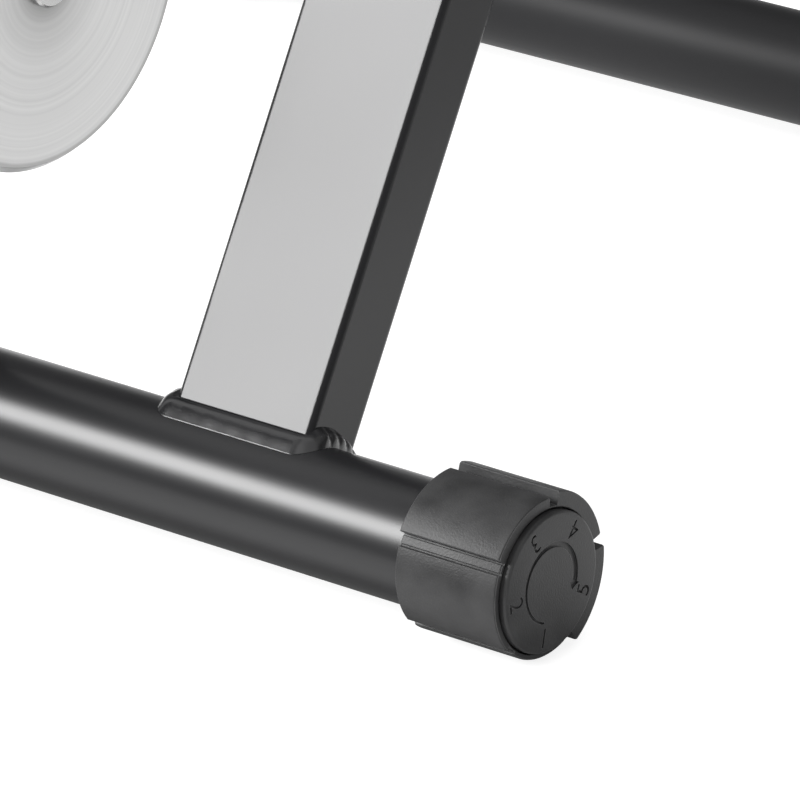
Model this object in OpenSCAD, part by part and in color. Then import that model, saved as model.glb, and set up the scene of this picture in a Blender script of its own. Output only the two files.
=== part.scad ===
// Wheel-on bike trainer: a folding A-frame that clamps the rear axle of a bicycle
// and presses a roller with a flywheel and a fluid brake against the tyre.
// The bicycle faces +Y, +X is its right side and Z is up. The floor is z = 0.

/* [Base frame] */
// Width over the end discs of the rear crossbar's two feet
overall_w = 504; // [480:2:560]
// Extra width of the front crossbar, on both sides together
front_extra_w = 44; // [36:2:60]
// Distance between the axes of the two crossbars
base_l = 431; // [421:1:460]
// Outside diameter of both crossbars
bar_d = 40; // [36:1:44]
// Wall of a crossbar
bar_wall = 2; // [1.5:0.5:3]
// Height of the bicycle's axle above the crossbar axes
axle_rise = 389; // [384:1:400]
// Sideways distance from the middle plane to the centre of each leg
leg_x = 129; // [124:1:140]
// Width of a rear leg, along the crossbar
leg_w = 54; // [48:1:56]
// Thickness of every leg
leg_t = 25; // [22:1:27]
// Outside corner radius of every leg
leg_r = 2.2; // [2:0.1:5]
// Wall of every leg
leg_wall = 2; // [1.5:0.5:2.5]
// Distance of a rear leg's centreline in front of the crossbar axis
leg_offset = 3.8; // [0:0.2:6]
// Reach of the weld out from a leg's faces
weld_leg = 5.5; // [2:0.5:6]
// Height of the weld on the crossbar
weld_rise = 3.5; // [2:0.5:5]

/* [Folding front frame] */
// Gap on each side between a front leg and the ears that hold it
hinge_gap = 2.5; // [2:0.5:4]
// Distance of the fold pivot up the rear leg
pivot_up = 330; // [300:1:340]
// Distance of the fold pivot in front of a rear leg's centreline
pivot_out = 32; // [30:1:38]
// Diameter of the fold pivot bolts
pivot_d = 10; // [8:1:12]
// Outside diameter of the bush in a front leg
bush_d = 16; // [14:1:18]
// Thickness of an ear plate
ear_t = 5; // [3:0.5:6]
// Radius of an ear plate round the pivot
ear_r = 17; // [15:1:19]
// Diameter of the stop bar between two ears
stop_d = 8; // [6:1:10]
// Distance of the stop bar down the front leg from the pivot
stop_down = 20; // [16:1:24]
// Diameter of a nylon hinge washer
hinge_washer_d = 24; // [22:1:26]

/* [Feet] */
// Length of a foot cap
cap_l = 41; // [38:1:46]
// Thickness of a foot cap's end wall
cap_end = 5; // [4:0.5:7]
// Radius of the end disc
cap_disc_r = 22; // [21:0.5:22.5]
// Depth of the end disc in front of the pads
cap_disc_t = 2.8; // [2:0.2:3.5]
// Radius at the bottom of the grooves between the pads
cap_core_r = 23.6; // [23.2:0.1:24]
// Radius of the lowest step of the levelling foot
cap_base_r = 25; // [24.6:0.1:25.5]
// Rise from each step of the levelling foot to the next
cap_step = 1.2; // [0.8:0.1:1.5]
// Turn of the levelling foot away from straight on step one
cap_phase = 8.5; // [0:0.5:12]
// Width of a groove between two pads
cap_groove = 3.8; // [3:0.2:5]
// Radial play between a levelling foot and its crossbar
cap_play = 0.08; // [0.05:0.01:0.1]

/* [Axle clamp] */
// Distance between the mouths of the two axle cups
cup_gap = 130; // [126:1:135]
// Length of an axle cup
cup_l = 19; // [17:1:21]
// Outside diameter of an axle cup
cup_d = 36; // [32:1:38]
// Diameter of the socket in an axle cup
cup_bore_d = 22; // [18:0.5:24]
// Depth of the socket
cup_bore_l = 12; // [8:1:13]
// Width of the slot for the skewer's lever in the left cup
cup_slot_w = 11; // [8:1:12]
// Outside diameter of the two sleeves
sleeve_d = 38; // [34:1:42]
// Bore of the two sleeves
sleeve_bore_d = 28; // [26:0.5:30]
// Reach of a sleeve past a leg's inner face
sleeve_in = 1; // [0.5:0.5:2]
// Reach of a sleeve past a leg's outer face
sleeve_out = 2; // [1:1:8]
// Diameter of the adjusting screw and of the plunger
screw_d = 20; // [18:1:22]
// Diameter of the screw's journal in its cup
journal_d = 12; // [8:1:14]
// Length of the journal
journal_l = 5; // [4:0.5:6]
// Thickness of the lock ring
ring_t = 10; // [8:1:14]
// Outside diameter of the lock ring
ring_d = 42; // [36:1:46]
// Radius of the adjusting knob over its flutes
knob_r = 27; // [24:1:30]
// Length of the adjusting knob
knob_l = 24; // [18:1:28]
// Length of bare screw between the lock ring and the knob
screw_free = 20; // [20:1:24]
// Travel of each cup when it opens
cup_travel = 18; // [12:1:18]
// Length of the bush that guides the plunger
plunger_bush_l = 10; // [8:1:14]
// Length of the plunger's piston head
piston_l = 10; // [8:1:12]
// Distance of the piston head's back behind the sleeve's outer end
piston_out = 2; // [2:0.5:4]
// Length of the clamp housing
housing_l = 48; // [47:1:52]
// Width and height of the clamp housing
housing_w = 34; // [33:1:38]
// Diameter of the lever's pin
pin_d = 8; // [6:1:9]
// Reach of the cam from the pin when the clamp is shut
cam_reach = 28; // [26:0.5:28]
// Width of the cam and the lever
lever_w = 15; // [12:1:16]
// Thickness of the lever's arm
lever_t = 8; // [6:1:9]
// Distance from the pin down to the lever's tip
lever_l = 130; // [100:1:150]
// Length of the grip on the lever
grip_l = 72; // [50:1:78]
// Thickness of the grip's wall
grip_wall = 2.5; // [1.5:0.5:3]
// Wire of the clamp spring
clamp_wire = 2; // [1.5:0.1:2.4]

/* [Resistance unit] */
// Radius of the bicycle's wheel with its tyre
wheel_r = 340; // [334:1:345]
// Distance of the roller's axis behind the rear crossbar's axis
roller_back = 74.7; // [72:0.1:80]
// Diameter of the roller
roller_d = 30; // [28:1:34]
// Length of the roller
roller_l = 84; // [70:1:86]
// Diameter of the roller's shaft
shaft_d = 12; // [10:1:14]
// Diameter of the shaft's head
head_d = 19; // [16:1:24]
// Reach of the shaft's head out of the flywheel
head_out = 2.5; // [2:0.5:5]
// Width across the flats of the socket in the shaft's head
head_socket = 12; // [8:1:12]
// Radius of the flywheel
flywheel_r = 60.2; // [60:0.2:66]
// Thickness of the flywheel's disc
flywheel_t = 30; // [24:1:34]
// Sideways distance of the flywheel's outer face from the middle plane
flywheel_face = 120; // [114:1:124]
// Chamfer of the flywheel's outer edge across its face
flywheel_rim_r = 1.9; // [1:0.1:4]
// Chamfer of the flywheel's outer edge along its axis
flywheel_rim_x = 2.5; // [1:0.5:5]
// Radius of the flywheel's hub
hub_r = 20; // [18:1:24]
// Inside width of the swinging bracket
bracket_w = 90; // [88:1:94]
// Thickness of the swinging bracket's plates
bracket_t = 6; // [4:0.5:7]
// Outside diameter of a roller bearing
bearing_d = 28; // [24:1:30]
// Width of a roller bearing
bearing_w = 8; // [7:1:9]
// Wall round a bearing
boss_wall = 5; // [4:0.5:6]
// Distance of the swing pivot behind the rear crossbar's axis
swing_back = 58; // [54:1:62]
// Height of the swing pivot above the rear crossbar's axis
swing_rise = 48; // [46:1:54]
// Diameter of the swing pivot's bolt
swing_bolt_d = 10; // [8:1:12]
// Width of the swing pivot's tube
swing_tube_w = 43.4; // [36:0.2:46]
// Outside diameter of the swing pivot's tube
swing_tube_d = 24; // [20:1:26]
// Distance of the tension screw above the swing pivot
tension_up = 43.5; // [40:0.5:48]
// Distance of the tension screw's anchor behind the crossbar's axis
anchor_back = 22; // [18:1:26]
// Thickness of a plate of the base bracket
cheek_t = 6; // [4:0.5:7]
// Diameter of the tension screw
tension_d = 8; // [6:1:9]
// Radius of the tension knob over its flutes
tension_knob_r = 18; // [15:1:19]
// Length of the tension knob
tension_knob_l = 22; // [16:1:24]
// Thickness of the washer in front of the tension knob
tension_washer_t = 3; // [2:0.5:4]
// Travel of the tension knob as it lets the roller swing back
tension_travel = 9.8; // [9.8:0.1:10]
// Wire of the tension spring
tension_wire = 1.8; // [1.2:0.1:2]

/* [Fluid brake] */
// Radius of the brake's can over its cooling fins
can_r = 60; // [58:1:62]
// Radius of the brake's can under its fins
can_core_r = 54; // [52:1:56]
// Length of the can
can_l = 50; // [44:1:56]
// Wall of the can
can_wall = 4; // [3:0.5:5]
// Number of cooling fins
fin_count = 9; // [5:1:11]
// Thickness of a cooling fin
fin_t = 2.4; // [1.6:0.2:2.8]
// Thickness of the cover
cover_t = 8; // [6:1:10]
// Number of cover screws
cover_screw_count = 6; // [4:1:8]
// Diameter of a cover screw
cover_screw_d = 4; // [3:0.5:4]
// Length of a cover screw in the can
cover_screw_l = 11; // [8:1:14]
// Radius of the impeller
impeller_r = 42; // [36:1:44]
// Number of impeller blades
blade_count = 8; // [5:1:10]
// Diameter of a screw between the can and the bracket
can_screw_d = 5; // [4:0.5:5]

/* [Hidden] */
$fn = 96;

// Play of a shaft in a bore that it turns or slides in
run = 0.06;
// Gap between two faces that pass each other
pass = 0.3;
// Step where a flat side meets a round end, so that the two never only touch
seam = 0.02;

// Colours
paint = [0.06, 0.06, 0.065];
rubber = [0.11, 0.11, 0.11];
steel = [0.72, 0.73, 0.74];
zinc = [0.62, 0.63, 0.64];
cast = [0.45, 0.46, 0.47];
plastic = [0.09, 0.09, 0.1];
nylon = [0.85, 0.85, 0.82];

// Crossbars and feet
bar_r = bar_d / 2;
front_w = overall_w + front_extra_w;
front_leg_w = leg_w - 2 * hinge_gap;
leg_bore_r = max(leg_r - leg_wall, 1);
step_turn = 360 / 5;
pad_r = [for (n = [0:4]) cap_base_r + n * cap_step];
// The foot stands on step one, or on the near corner of the highest step where that reaches lower
corner_turn = step_turn / 2 - cap_phase;
foot_h = max(cap_base_r, pad_r[4] * cos(corner_turn));

// Places in the side view, as [y, z] pairs, counted from the rear crossbar's axis
roller_y = -roller_back;
axle_s = [base_l / 2, axle_rise];
roller_s = [roller_y, axle_rise - sqrt(pow(wheel_r + roller_d / 2, 2) - pow(axle_s[0] - roller_y, 2))];
front_s = [base_l, 0];
foot_s = [leg_offset, 0];
lean = atan2(axle_s[0] - foot_s[0], axle_s[1]);
leg_l = norm(axle_s - foot_s);
leg_dir = [sin(lean), cos(lean)];
leg_front = [cos(lean), -sin(lean)];
pivot_s = foot_s + pivot_up * leg_dir + pivot_out * leg_front;
front_l = norm(front_s - pivot_s);
front_dir = (front_s - pivot_s) / front_l;
front_up = [-front_dir[1], front_dir[0]];
front_lean = atan2(pivot_s[0] - front_s[0], pivot_s[1]);
stop_s = pivot_s + stop_down * front_dir + (leg_t / 2 + stop_d / 2 + pass) * front_up;
swing_s = [-swing_back, swing_rise];
unit_dir = (roller_s - swing_s) / norm(roller_s - swing_s);
web_s = swing_s + tension_up * unit_dir;
anchor_s = [-anchor_back, web_s[1]];

// The part's origin is on the floor, in the middle of its box
back_reach = max(flywheel_r, can_r) - roller_y;
front_reach = base_l + foot_h;
rear_y = (back_reach - front_reach) / 2;

// Clamp, along X from the middle plane
cup_mouth = cup_gap / 2;
cup_back = cup_mouth + cup_l;
leg_in = leg_x - leg_w / 2;
leg_out = leg_x + leg_w / 2;
sleeve_start = leg_in - sleeve_in;
sleeve_end = leg_out + sleeve_out;
ring_start = sleeve_end + pass;
knob_start = ring_start + ring_t + screw_free;
piston_back = sleeve_end + piston_out;
pin_x = piston_back + cam_reach + pass;
housing_end = sleeve_end + housing_l;
piston_r = sleeve_bore_d / 2 - run;
// The cam's reach shrinks evenly as the lever turns through a right angle
cam_rate = cup_travel / (PI / 2);
cam_hub_r = cam_reach - cup_travel;

// Resistance unit, along X from the middle plane
arm_in = bracket_w / 2;
arm_out = arm_in + bracket_t;
boss_end = arm_out + bearing_w + 1;
boss_r = bearing_d / 2 + boss_wall;
can_start = boss_end;
can_end = can_start + can_l;
cover_end = can_end + cover_t;
flange_r = 34;
can_screw_r = 27;
can_screws_s = [
    for (k = [-1:1])
        let (turn = atan2(unit_dir[1], unit_dir[0]) + 80 * k)
        roller_s + can_screw_r * [cos(turn), sin(turn)]
];
cover_screw_r = can_core_r - 4;
cover_head_r = cover_screw_d * 0.85;

// Tension screw, along -Y from its anchor
web_t = bracket_t;
washer_y = web_s[0] - web_t / 2 - pass;
tension_knob_y = washer_y - tension_washer_t - pass;
tension_end = tension_knob_y - tension_knob_l - tension_travel - 2;
anchor_r = 8;

// Moves from the side view's origin, the rear crossbar's axis, to the part's origin
module on_frame() {
    translate([0, rear_y, foot_h]) children();
}

// A solid with a flat outline in the side view, from x0 to x1
module side_plate(x0, x1) {
    translate([x0, 0, 0]) rotate([90, 0, 90]) linear_extrude(x1 - x0) children();
}

// Two plates of one outline, one each side of the middle plane, from x0 to x1
module plate_pair(x0, x1) {
    side_plate(x0, x1) children();
    side_plate(-x1, -x0) children();
}

// A round bar along X
module bar_x(r, x0, x1, s = [0, 0]) {
    translate([x0, s[0], s[1]]) rotate([0, 90, 0]) cylinder(r = r, h = x1 - x0);
}

// A hexagonal bar along X
module hex_x(across, x0, x1, s = [0, 0]) {
    translate([x0, s[0], s[1]]) rotate([0, 90, 0]) cylinder(d = across / cos(30), h = x1 - x0, $fn = 6);
}

// A flat link: two discs and the straight sides that touch both
module link_2d(a, ra, b, rb) {
    d = norm(b - a);
    u = (b - a) / d;
    n = [-u[1], u[0]];
    s = (ra - rb) / d;
    c = sqrt(1 - s * s);
    left = s * u + c * n;
    right = s * u - c * n;
    qa = ra - seam;
    qb = rb - seam;
    polygon([a + qa * right, b + qb * right, b + qb * left, a + qa * left]);
    translate(a) circle(ra);
    translate(b) circle(rb);
}

// A rectangle with round corners
module round_rect(w, t, r) {
    square([w - 2 * r, t], center = true);
    square([w, t - 2 * r], center = true);
    for (sx = [-1, 1], sy = [-1, 1]) translate([sx * (w / 2 - r), sy * (t / 2 - r)]) circle(r);
}

// The same piece on the other side of the middle plane
module other_side() {
    mirror([1, 0, 0]) children();
}

module both_sides() {
    children();
    other_side() children();
}

// An open spring of round wire along Z, as one sweep whose rings lie flat in the radial plane
module coil(r, wire, length, turns) {
    sides = 8;
    steps = 16;
    rings = steps * turns;
    rise = (length - wire) / rings;
    points = [
        for (i = [0:rings], k = [0:sides - 1])
            let (a = i * 360 / steps, b = k * 360 / sides, q = r + wire / 2 * cos(b))
            [q * cos(a), q * sin(a), wire / 2 + i * rise + wire / 2 * sin(b)]
    ];
    sweep = [
        for (i = [0:rings - 1], k = [0:sides - 1])
            let (p = i * sides + k, q = i * sides + (k + 1) % sides)
            each [[p, q, p + sides], [q, q + sides, p + sides]]
    ];
    first = [for (k = [1:sides - 2]) [0, k + 1, k]];
    base = rings * sides;
    last = [for (k = [1:sides - 2]) [base, base + k, base + k + 1]];
    polyhedron(points = points, faces = [for (f = concat(sweep, first, last)) [f[2], f[1], f[0]]]);
}

// Base frame

module crossbar(width) {
    half = width / 2 - cap_end;
    difference() {
        bar_x(bar_r, -half, half);
        bar_x(bar_r - bar_wall, -width, width);
    }
}

module rear_crossbar() {
    color(paint) on_frame() crossbar(overall_w);
}

module along_rear_leg() {
    translate([leg_x, foot_s[0], foot_s[1]]) rotate([-lean, 0, 0]) children();
}

module rear_leg() {
    on_frame() difference() {
        along_rear_leg() linear_extrude(leg_l) difference() {
            round_rect(leg_w, leg_t, leg_r);
            round_rect(leg_w - 2 * leg_wall, leg_t - 2 * leg_wall, leg_bore_r);
        }
        bar_x(bar_r, 0, overall_w);
        bar_x(sleeve_d / 2, 0, overall_w, axle_s);
    }
}

module rear_leg_right() {
    color(paint) rear_leg();
}

module rear_leg_left() {
    color(paint) other_side() rear_leg();
}

module leg_weld() {
    on_frame() difference() {
        intersection() {
            along_rear_leg() linear_extrude(bar_d * 2)
                round_rect(leg_w + 2 * weld_leg, leg_t + 2 * weld_leg, leg_r + weld_leg);
            bar_x(bar_r + weld_rise, 0, overall_w);
        }
        along_rear_leg() linear_extrude(bar_d * 2) round_rect(leg_w, leg_t, leg_r);
        bar_x(bar_r, 0, overall_w);
    }
}

module leg_weld_right() {
    color(paint) leg_weld();
}

module leg_weld_left() {
    color(paint) other_side() leg_weld();
}

// Two plates on a rear leg's side faces and the stop bar between them
module hinge_ears() {
    on_frame() difference() {
        union() {
            for (x = [leg_in - ear_t, leg_out]) side_plate(x, x + ear_t) {
                link_2d(pivot_s - pivot_out * leg_front, ear_r, pivot_s, ear_r);
                link_2d(pivot_s, ear_r, stop_s, stop_d / 2 + ear_t);
            }
            bar_x(stop_d / 2, leg_in, leg_out, stop_s);
        }
        bar_x(pivot_d / 2 + run, 0, overall_w, pivot_s);
    }
}

module hinge_ears_right() {
    color(paint) hinge_ears();
}

module hinge_ears_left() {
    color(paint) other_side() hinge_ears();
}

hinge_washer_t = hinge_gap - pass / 2;

module hinge_bolts() {
    head_h = pivot_d * 0.6;
    color(zinc) both_sides() on_frame() {
        bar_x(pivot_d / 2, leg_in - ear_t - pivot_d, leg_out + ear_t, pivot_s);
        hex_x(pivot_d * 1.6, leg_out + ear_t, leg_out + ear_t + head_h, pivot_s);
    }
}

module hinge_nuts() {
    nut_h = pivot_d * 0.8;
    color(zinc) both_sides() on_frame() difference() {
        hex_x(pivot_d * 1.6, leg_in - ear_t - nut_h, leg_in - ear_t, pivot_s);
        bar_x(pivot_d / 2, 0, overall_w, pivot_s);
    }
}

module hinge_washers() {
    color(nylon) both_sides() on_frame() difference() {
        for (x = [leg_in, leg_out - hinge_washer_t])
            bar_x(hinge_washer_d / 2, x, x + hinge_washer_t, pivot_s);
        bar_x(pivot_d / 2, 0, overall_w, pivot_s);
    }
}

// Front frame

module front_crossbar() {
    color(paint) on_frame() translate([0, front_s[0], front_s[1]]) crossbar(front_w);
}

module along_front_leg() {
    translate([leg_x, front_s[0], front_s[1]]) rotate([-front_lean, 0, 0]) children();
}

// The leg's upper end is rounded about the pivot
module front_leg() {
    on_frame() difference() {
        along_front_leg() linear_extrude(front_l + leg_t / 2) round_rect(front_leg_w, leg_t, leg_r);
        difference() {
            along_front_leg() translate([-leg_w / 2, -leg_t, front_l]) cube([leg_w, 2 * leg_t, leg_t]);
            bar_x(leg_t / 2 - seam, 0, overall_w, pivot_s);
        }
        along_front_leg() linear_extrude(front_l - leg_t * 0.6)
            round_rect(front_leg_w - 2 * leg_wall, leg_t - 2 * leg_wall, leg_bore_r);
        bar_x(bar_r, 0, overall_w, front_s);
        bar_x(bush_d / 2, 0, overall_w, pivot_s);
    }
}

module front_leg_right() {
    color(paint) front_leg();
}

module front_leg_left() {
    color(paint) other_side() front_leg();
}

module front_leg_welds() {
    color(paint) both_sides() on_frame() difference() {
        intersection() {
            along_front_leg() linear_extrude(bar_d * 2)
                round_rect(front_leg_w + 2 * weld_leg, leg_t + 2 * weld_leg, leg_r + weld_leg);
            bar_x(bar_r + weld_rise, 0, overall_w, front_s);
        }
        along_front_leg() linear_extrude(bar_d * 2) round_rect(front_leg_w, leg_t, leg_r);
        bar_x(bar_r, 0, overall_w, front_s);
    }
}

module hinge_bushes() {
    color(steel) both_sides() on_frame() difference() {
        bar_x(bush_d / 2, leg_x - front_leg_w / 2, leg_x + front_leg_w / 2, pivot_s);
        bar_x(pivot_d / 2 + run, 0, overall_w, pivot_s);
    }
}

// Feet, drawn along X with the end disc's face at x = 0 and the tube on the -X side

module cap_end_disc() {
    edge = 0.8;
    translate([-cap_disc_t, 0, 0]) rotate([0, 90, 0]) cylinder(r = cap_disc_r, h = cap_disc_t - edge);
    translate([-edge, 0, 0]) rotate([0, 90, 0]) cylinder(r1 = cap_disc_r, r2 = cap_disc_r - edge, h = edge);
}

module cap_core(r, bore) {
    difference() {
        union() {
            bar_x(r, -cap_l, -cap_disc_t);
            cap_end_disc();
        }
        bar_x(bore, -cap_l - 1, -cap_end);
    }
}

// One pad: a ring sector from angle a0 to a1, in the side view
module sector_2d(r, a0, a1) {
    mid = (a0 + a1) / 2;
    far = 2 * r;
    intersection() {
        circle(r);
        polygon([[0, 0], far * [cos(a0), sin(a0)], far * [cos(mid), sin(mid)], far * [cos(a1), sin(a1)]]);
    }
}

// The five steps get higher clockwise round the end disc, from step one at the bottom
module levelling_cap() {
    half_turn = step_turn / 2 - asin(cap_groove / 2 / cap_core_r);
    rib_w = cap_groove * 0.72;
    cap_core(cap_core_r, bar_r + cap_play);
    difference() {
        side_plate(0.5 - cap_l, -cap_disc_t - 0.4) {
            for (n = [0:4]) {
                mid = 270 - cap_phase - n * step_turn;
                sector_2d(pad_r[n], mid - half_turn, mid + half_turn);
            }
            // A low rib fills the groove between steps two and three
            rotate(270 - cap_phase - 1.5 * step_turn) translate([0, -rib_w / 2])
                square([cap_core_r + 1, rib_w]);
        }
        bar_x(cap_core_r - 1, -cap_l - 1, 1);
    }
}

module rear_foot_cap_right() {
    color(rubber) on_frame() translate([overall_w / 2, 0, 0]) levelling_cap();
}

module rear_foot_cap_left() {
    color(rubber) other_side() on_frame() translate([overall_w / 2, 0, 0]) levelling_cap();
}

module plain_cap() {
    cap_core(foot_h, bar_r);
}

module front_foot_cap_right() {
    color(rubber) on_frame() translate([front_w / 2, front_s[0], 0]) plain_cap();
}

module front_foot_cap_left() {
    color(rubber) other_side() on_frame() translate([front_w / 2, front_s[0], 0]) plain_cap();
}

// Axle clamp, drawn on the +X side with the axle along X through the side view's origin

module on_axle() {
    on_frame() translate([0, axle_s[0], axle_s[1]]) children();
}

module sleeve() {
    difference() {
        bar_x(sleeve_d / 2, sleeve_start, sleeve_end);
        bar_x(sleeve_bore_d / 2, 0, overall_w);
    }
}

module clamp_sleeve_right() {
    color(paint) on_axle() sleeve();
}

module clamp_sleeve_left() {
    color(paint) other_side() on_axle() sleeve();
}

module spindle_bush() {
    color(steel) on_axle() difference() {
        bar_x(sleeve_bore_d / 2, sleeve_start, sleeve_end);
        bar_x(screw_d / 2 + run, 0, overall_w);
    }
}

module axle_cup(back_bore) {
    edge = 1.5;
    difference() {
        union() {
            translate([cup_mouth, 0, 0]) rotate([0, 90, 0])
                cylinder(r1 = cup_d / 2 - edge, r2 = cup_d / 2, h = edge);
            bar_x(cup_d / 2, cup_mouth + edge, cup_back);
        }
        bar_x(cup_bore_d / 2, cup_mouth - 1, cup_mouth + cup_bore_l);
        bar_x(back_bore, cup_back - journal_l - pass, cup_back + 1);
    }
}

module axle_cup_right() {
    color(steel) on_axle() axle_cup(journal_d / 2 + run);
}

module adjuster_screw() {
    color(steel) on_axle() {
        bar_x(journal_d / 2, cup_back - journal_l, cup_back + pass);
        bar_x(screw_d / 2, cup_back + pass, knob_start + knob_l * 0.75);
    }
}

// A hand knob along X from x = 0: a round body with finger flutes cut along it
module fluted_knob(r, length, flutes, bore, depth) {
    flute_r = r * 0.3;
    difference() {
        bar_x(r, 0, length);
        bar_x(bore, -1, depth);
        for (k = [0:flutes - 1]) rotate([k * 360 / flutes, 0, 0])
            translate([0, r + flute_r * 0.35, 0]) bar_x(flute_r, -1, length + 1);
    }
}

module adjuster_knob() {
    color(plastic) on_axle() translate([knob_start, 0, 0])
        fluted_knob(knob_r, knob_l, 7, screw_d / 2, knob_l * 0.75);
}

module lock_ring() {
    notches = 12;
    notch_r = 3;
    color(zinc) on_axle() difference() {
        bar_x(ring_d / 2, ring_start, ring_start + ring_t);
        bar_x(screw_d / 2 + run, 0, overall_w);
        for (k = [0:notches - 1]) rotate([k * 360 / notches, 0, 0])
            translate([0, ring_d / 2 + notch_r / 2, 0]) bar_x(notch_r, 0, overall_w);
    }
}

module plunger_bush() {
    color(nylon) other_side() on_axle() difference() {
        bar_x(sleeve_bore_d / 2, sleeve_start, sleeve_start + plunger_bush_l);
        bar_x(screw_d / 2 + run, 0, overall_w);
    }
}

module clamp_plunger() {
    color(steel) other_side() on_axle() {
        bar_x(journal_d / 2, cup_back - journal_l, cup_back);
        bar_x(screw_d / 2, cup_back, piston_back - piston_l);
        bar_x(piston_r, piston_back - piston_l, piston_back);
    }
}

module axle_cup_left() {
    color(steel) other_side() on_axle() difference() {
        axle_cup(journal_d / 2);
        translate([cup_mouth - 1, 0, -cup_slot_w / 2]) cube([cup_bore_l + 1, cup_d, cup_slot_w]);
    }
}

module clamp_spring() {
    start = sleeve_start + plunger_bush_l;
    length = piston_back - piston_l - start;
    color(steel) other_side() on_axle() translate([start, 0, 0]) rotate([0, 90, 0])
        coil((screw_d + sleeve_bore_d) / 4, clamp_wire, length, 6);
}

// The housing is a block with a bore for the piston head and a slot for the cam
module clamp_housing() {
    slot_w = lever_w + 2 * pass;
    roof = housing_w / 2 - sleeve_bore_d / 2;
    color(paint) other_side() on_axle() difference() {
        translate([sleeve_end, -housing_w / 2, -housing_w / 2]) cube([housing_l, housing_w, housing_w]);
        bar_x(sleeve_bore_d / 2, 0, piston_back + cup_travel + pass);
        translate([sleeve_end + 1, -slot_w / 2, -housing_w])
            cube([housing_l, slot_w, housing_w * 1.5 - roof]);
        translate([pin_x, 0, 0]) rotate([90, 0, 0])
            cylinder(d = pin_d, h = housing_w * 2, center = true);
    }
}

module lever_pin() {
    head_r = pin_d * 0.75;
    head_h = 2.5;
    color(zinc) other_side() on_axle() translate([pin_x, 0, 0]) rotate([90, 0, 0]) {
        cylinder(d = pin_d, h = housing_w + 2 * head_h, center = true);
        for (side = [-1, 1]) translate([0, 0, side * (housing_w + head_h) / 2])
            cylinder(r = head_r, h = head_h, center = true);
    }
}

// The lever's outline, in X and Z about its pin, with the piston towards -X.
// Its cam is the involute whose reach shrinks evenly with the turn.
lever_bend = [lever_l * 0.45, 5];
lever_tip = [lever_l, 20];

module arm_2d(a, b, width) {
    link_2d(a, width / 2, b, width / 2);
}

module clamp_lever() {
    cam = [
        for (a = [90:-6:0])
            let (h = cam_reach - cam_rate * a * PI / 180)
            [-(h * cos(a) + cam_rate * sin(a)), h * sin(a) - cam_rate * cos(a)]
    ];
    cam_back = [[lever_bend[1], -cam_hub_r * 2.2], [cam_hub_r * 0.6, 0], [0, cam_hub_r - 0.5]];
    color(zinc) other_side() on_axle() translate([pin_x, lever_w / 2, 0]) rotate([90, 0, 0])
        linear_extrude(lever_w) difference() {
            union() {
                polygon(concat(cam_back, cam));
                circle(cam_hub_r - 0.5);
                arm_2d([0, -cam_hub_r], [lever_bend[1], -lever_bend[0]], lever_t);
                arm_2d([lever_bend[1], -lever_bend[0]], [lever_tip[1], -lever_tip[0]], lever_t);
            }
            circle(pin_d / 2 + run);
        }
}

// A soft sleeve over the lower part of the lever's arm
module lever_grip() {
    down = [lever_tip[1] - lever_bend[1], -(lever_tip[0] - lever_bend[0])];
    dir = down / norm(down);
    tip = [lever_tip[1], -lever_tip[0]];
    start = tip - grip_l * dir;
    grip_w = lever_w + 2 * grip_wall;
    color(rubber) other_side() on_axle() difference() {
        translate([pin_x, grip_w / 2, 0]) rotate([90, 0, 0])
            linear_extrude(grip_w) arm_2d(start + grip_wall * dir, tip, lever_t + 2 * grip_wall);
        translate([pin_x, lever_w / 2, 0]) rotate([90, 0, 0])
            linear_extrude(lever_w) arm_2d(start - grip_l * dir, tip, lever_t);
    }
}

// Resistance unit

cheek_in = swing_tube_w / 2 + pass;
cheek_out = cheek_in + cheek_t;

// Two plates on the rear crossbar, with the cross bar that anchors the tension screw
module base_bracket() {
    cheek_r = swing_tube_d / 2 + 2;
    seat_s = bar_r * [-0.45, 0.2];
    seat_r = bar_r * 0.7;
    color(paint) on_frame() difference() {
        union() {
            plate_pair(cheek_in, cheek_out) {
                link_2d(seat_s, seat_r, swing_s, cheek_r);
                link_2d(seat_s, seat_r, anchor_s, anchor_r + 2);
            }
            bar_x(anchor_r, -cheek_out, cheek_out, anchor_s);
        }
        bar_x(bar_r, -overall_w, overall_w);
        bar_x(swing_bolt_d / 2 + run, -overall_w, overall_w, swing_s);
        translate([0, anchor_s[0], anchor_s[1]]) rotate([90, 0, 0])
            cylinder(d = tension_d, h = 4 * anchor_r, center = true);
    }
}

module swing_pivot_bolt() {
    color(zinc) on_frame() {
        bar_x(swing_bolt_d / 2, -cheek_out - swing_bolt_d, cheek_out, swing_s);
        hex_x(swing_bolt_d * 1.6, cheek_out, cheek_out + swing_bolt_d * 0.6, swing_s);
    }
}

module swing_pivot_nut() {
    color(zinc) on_frame() difference() {
        hex_x(swing_bolt_d * 1.6, -cheek_out - swing_bolt_d * 0.8, -cheek_out, swing_s);
        bar_x(swing_bolt_d / 2, -overall_w, overall_w, swing_s);
    }
}

// Turns a solid drawn along +Z so that it runs along -Y from the tension screw's anchor line
module on_tension(y) {
    on_frame() translate([0, y, web_s[1]]) rotate([90, 0, 0]) children();
}

module tension_screw() {
    color(zinc) on_tension(anchor_s[0] + anchor_r + 2)
        cylinder(d = tension_d, h = anchor_s[0] + anchor_r + 2 - tension_end);
}

module tension_spring() {
    start = anchor_s[0] - anchor_r;
    length = start - (web_s[0] + web_t / 2) - pass;
    color(steel) on_tension(start) coil(tension_d / 2 + tension_wire, tension_wire, length, 6);
}

module tension_washer() {
    color(zinc) on_tension(washer_y) difference() {
        cylinder(r = tension_d * 1.4, h = tension_washer_t);
        translate([0, 0, -1]) cylinder(d = tension_d + 2 * run, h = tension_washer_t + 2);
    }
}

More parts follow.
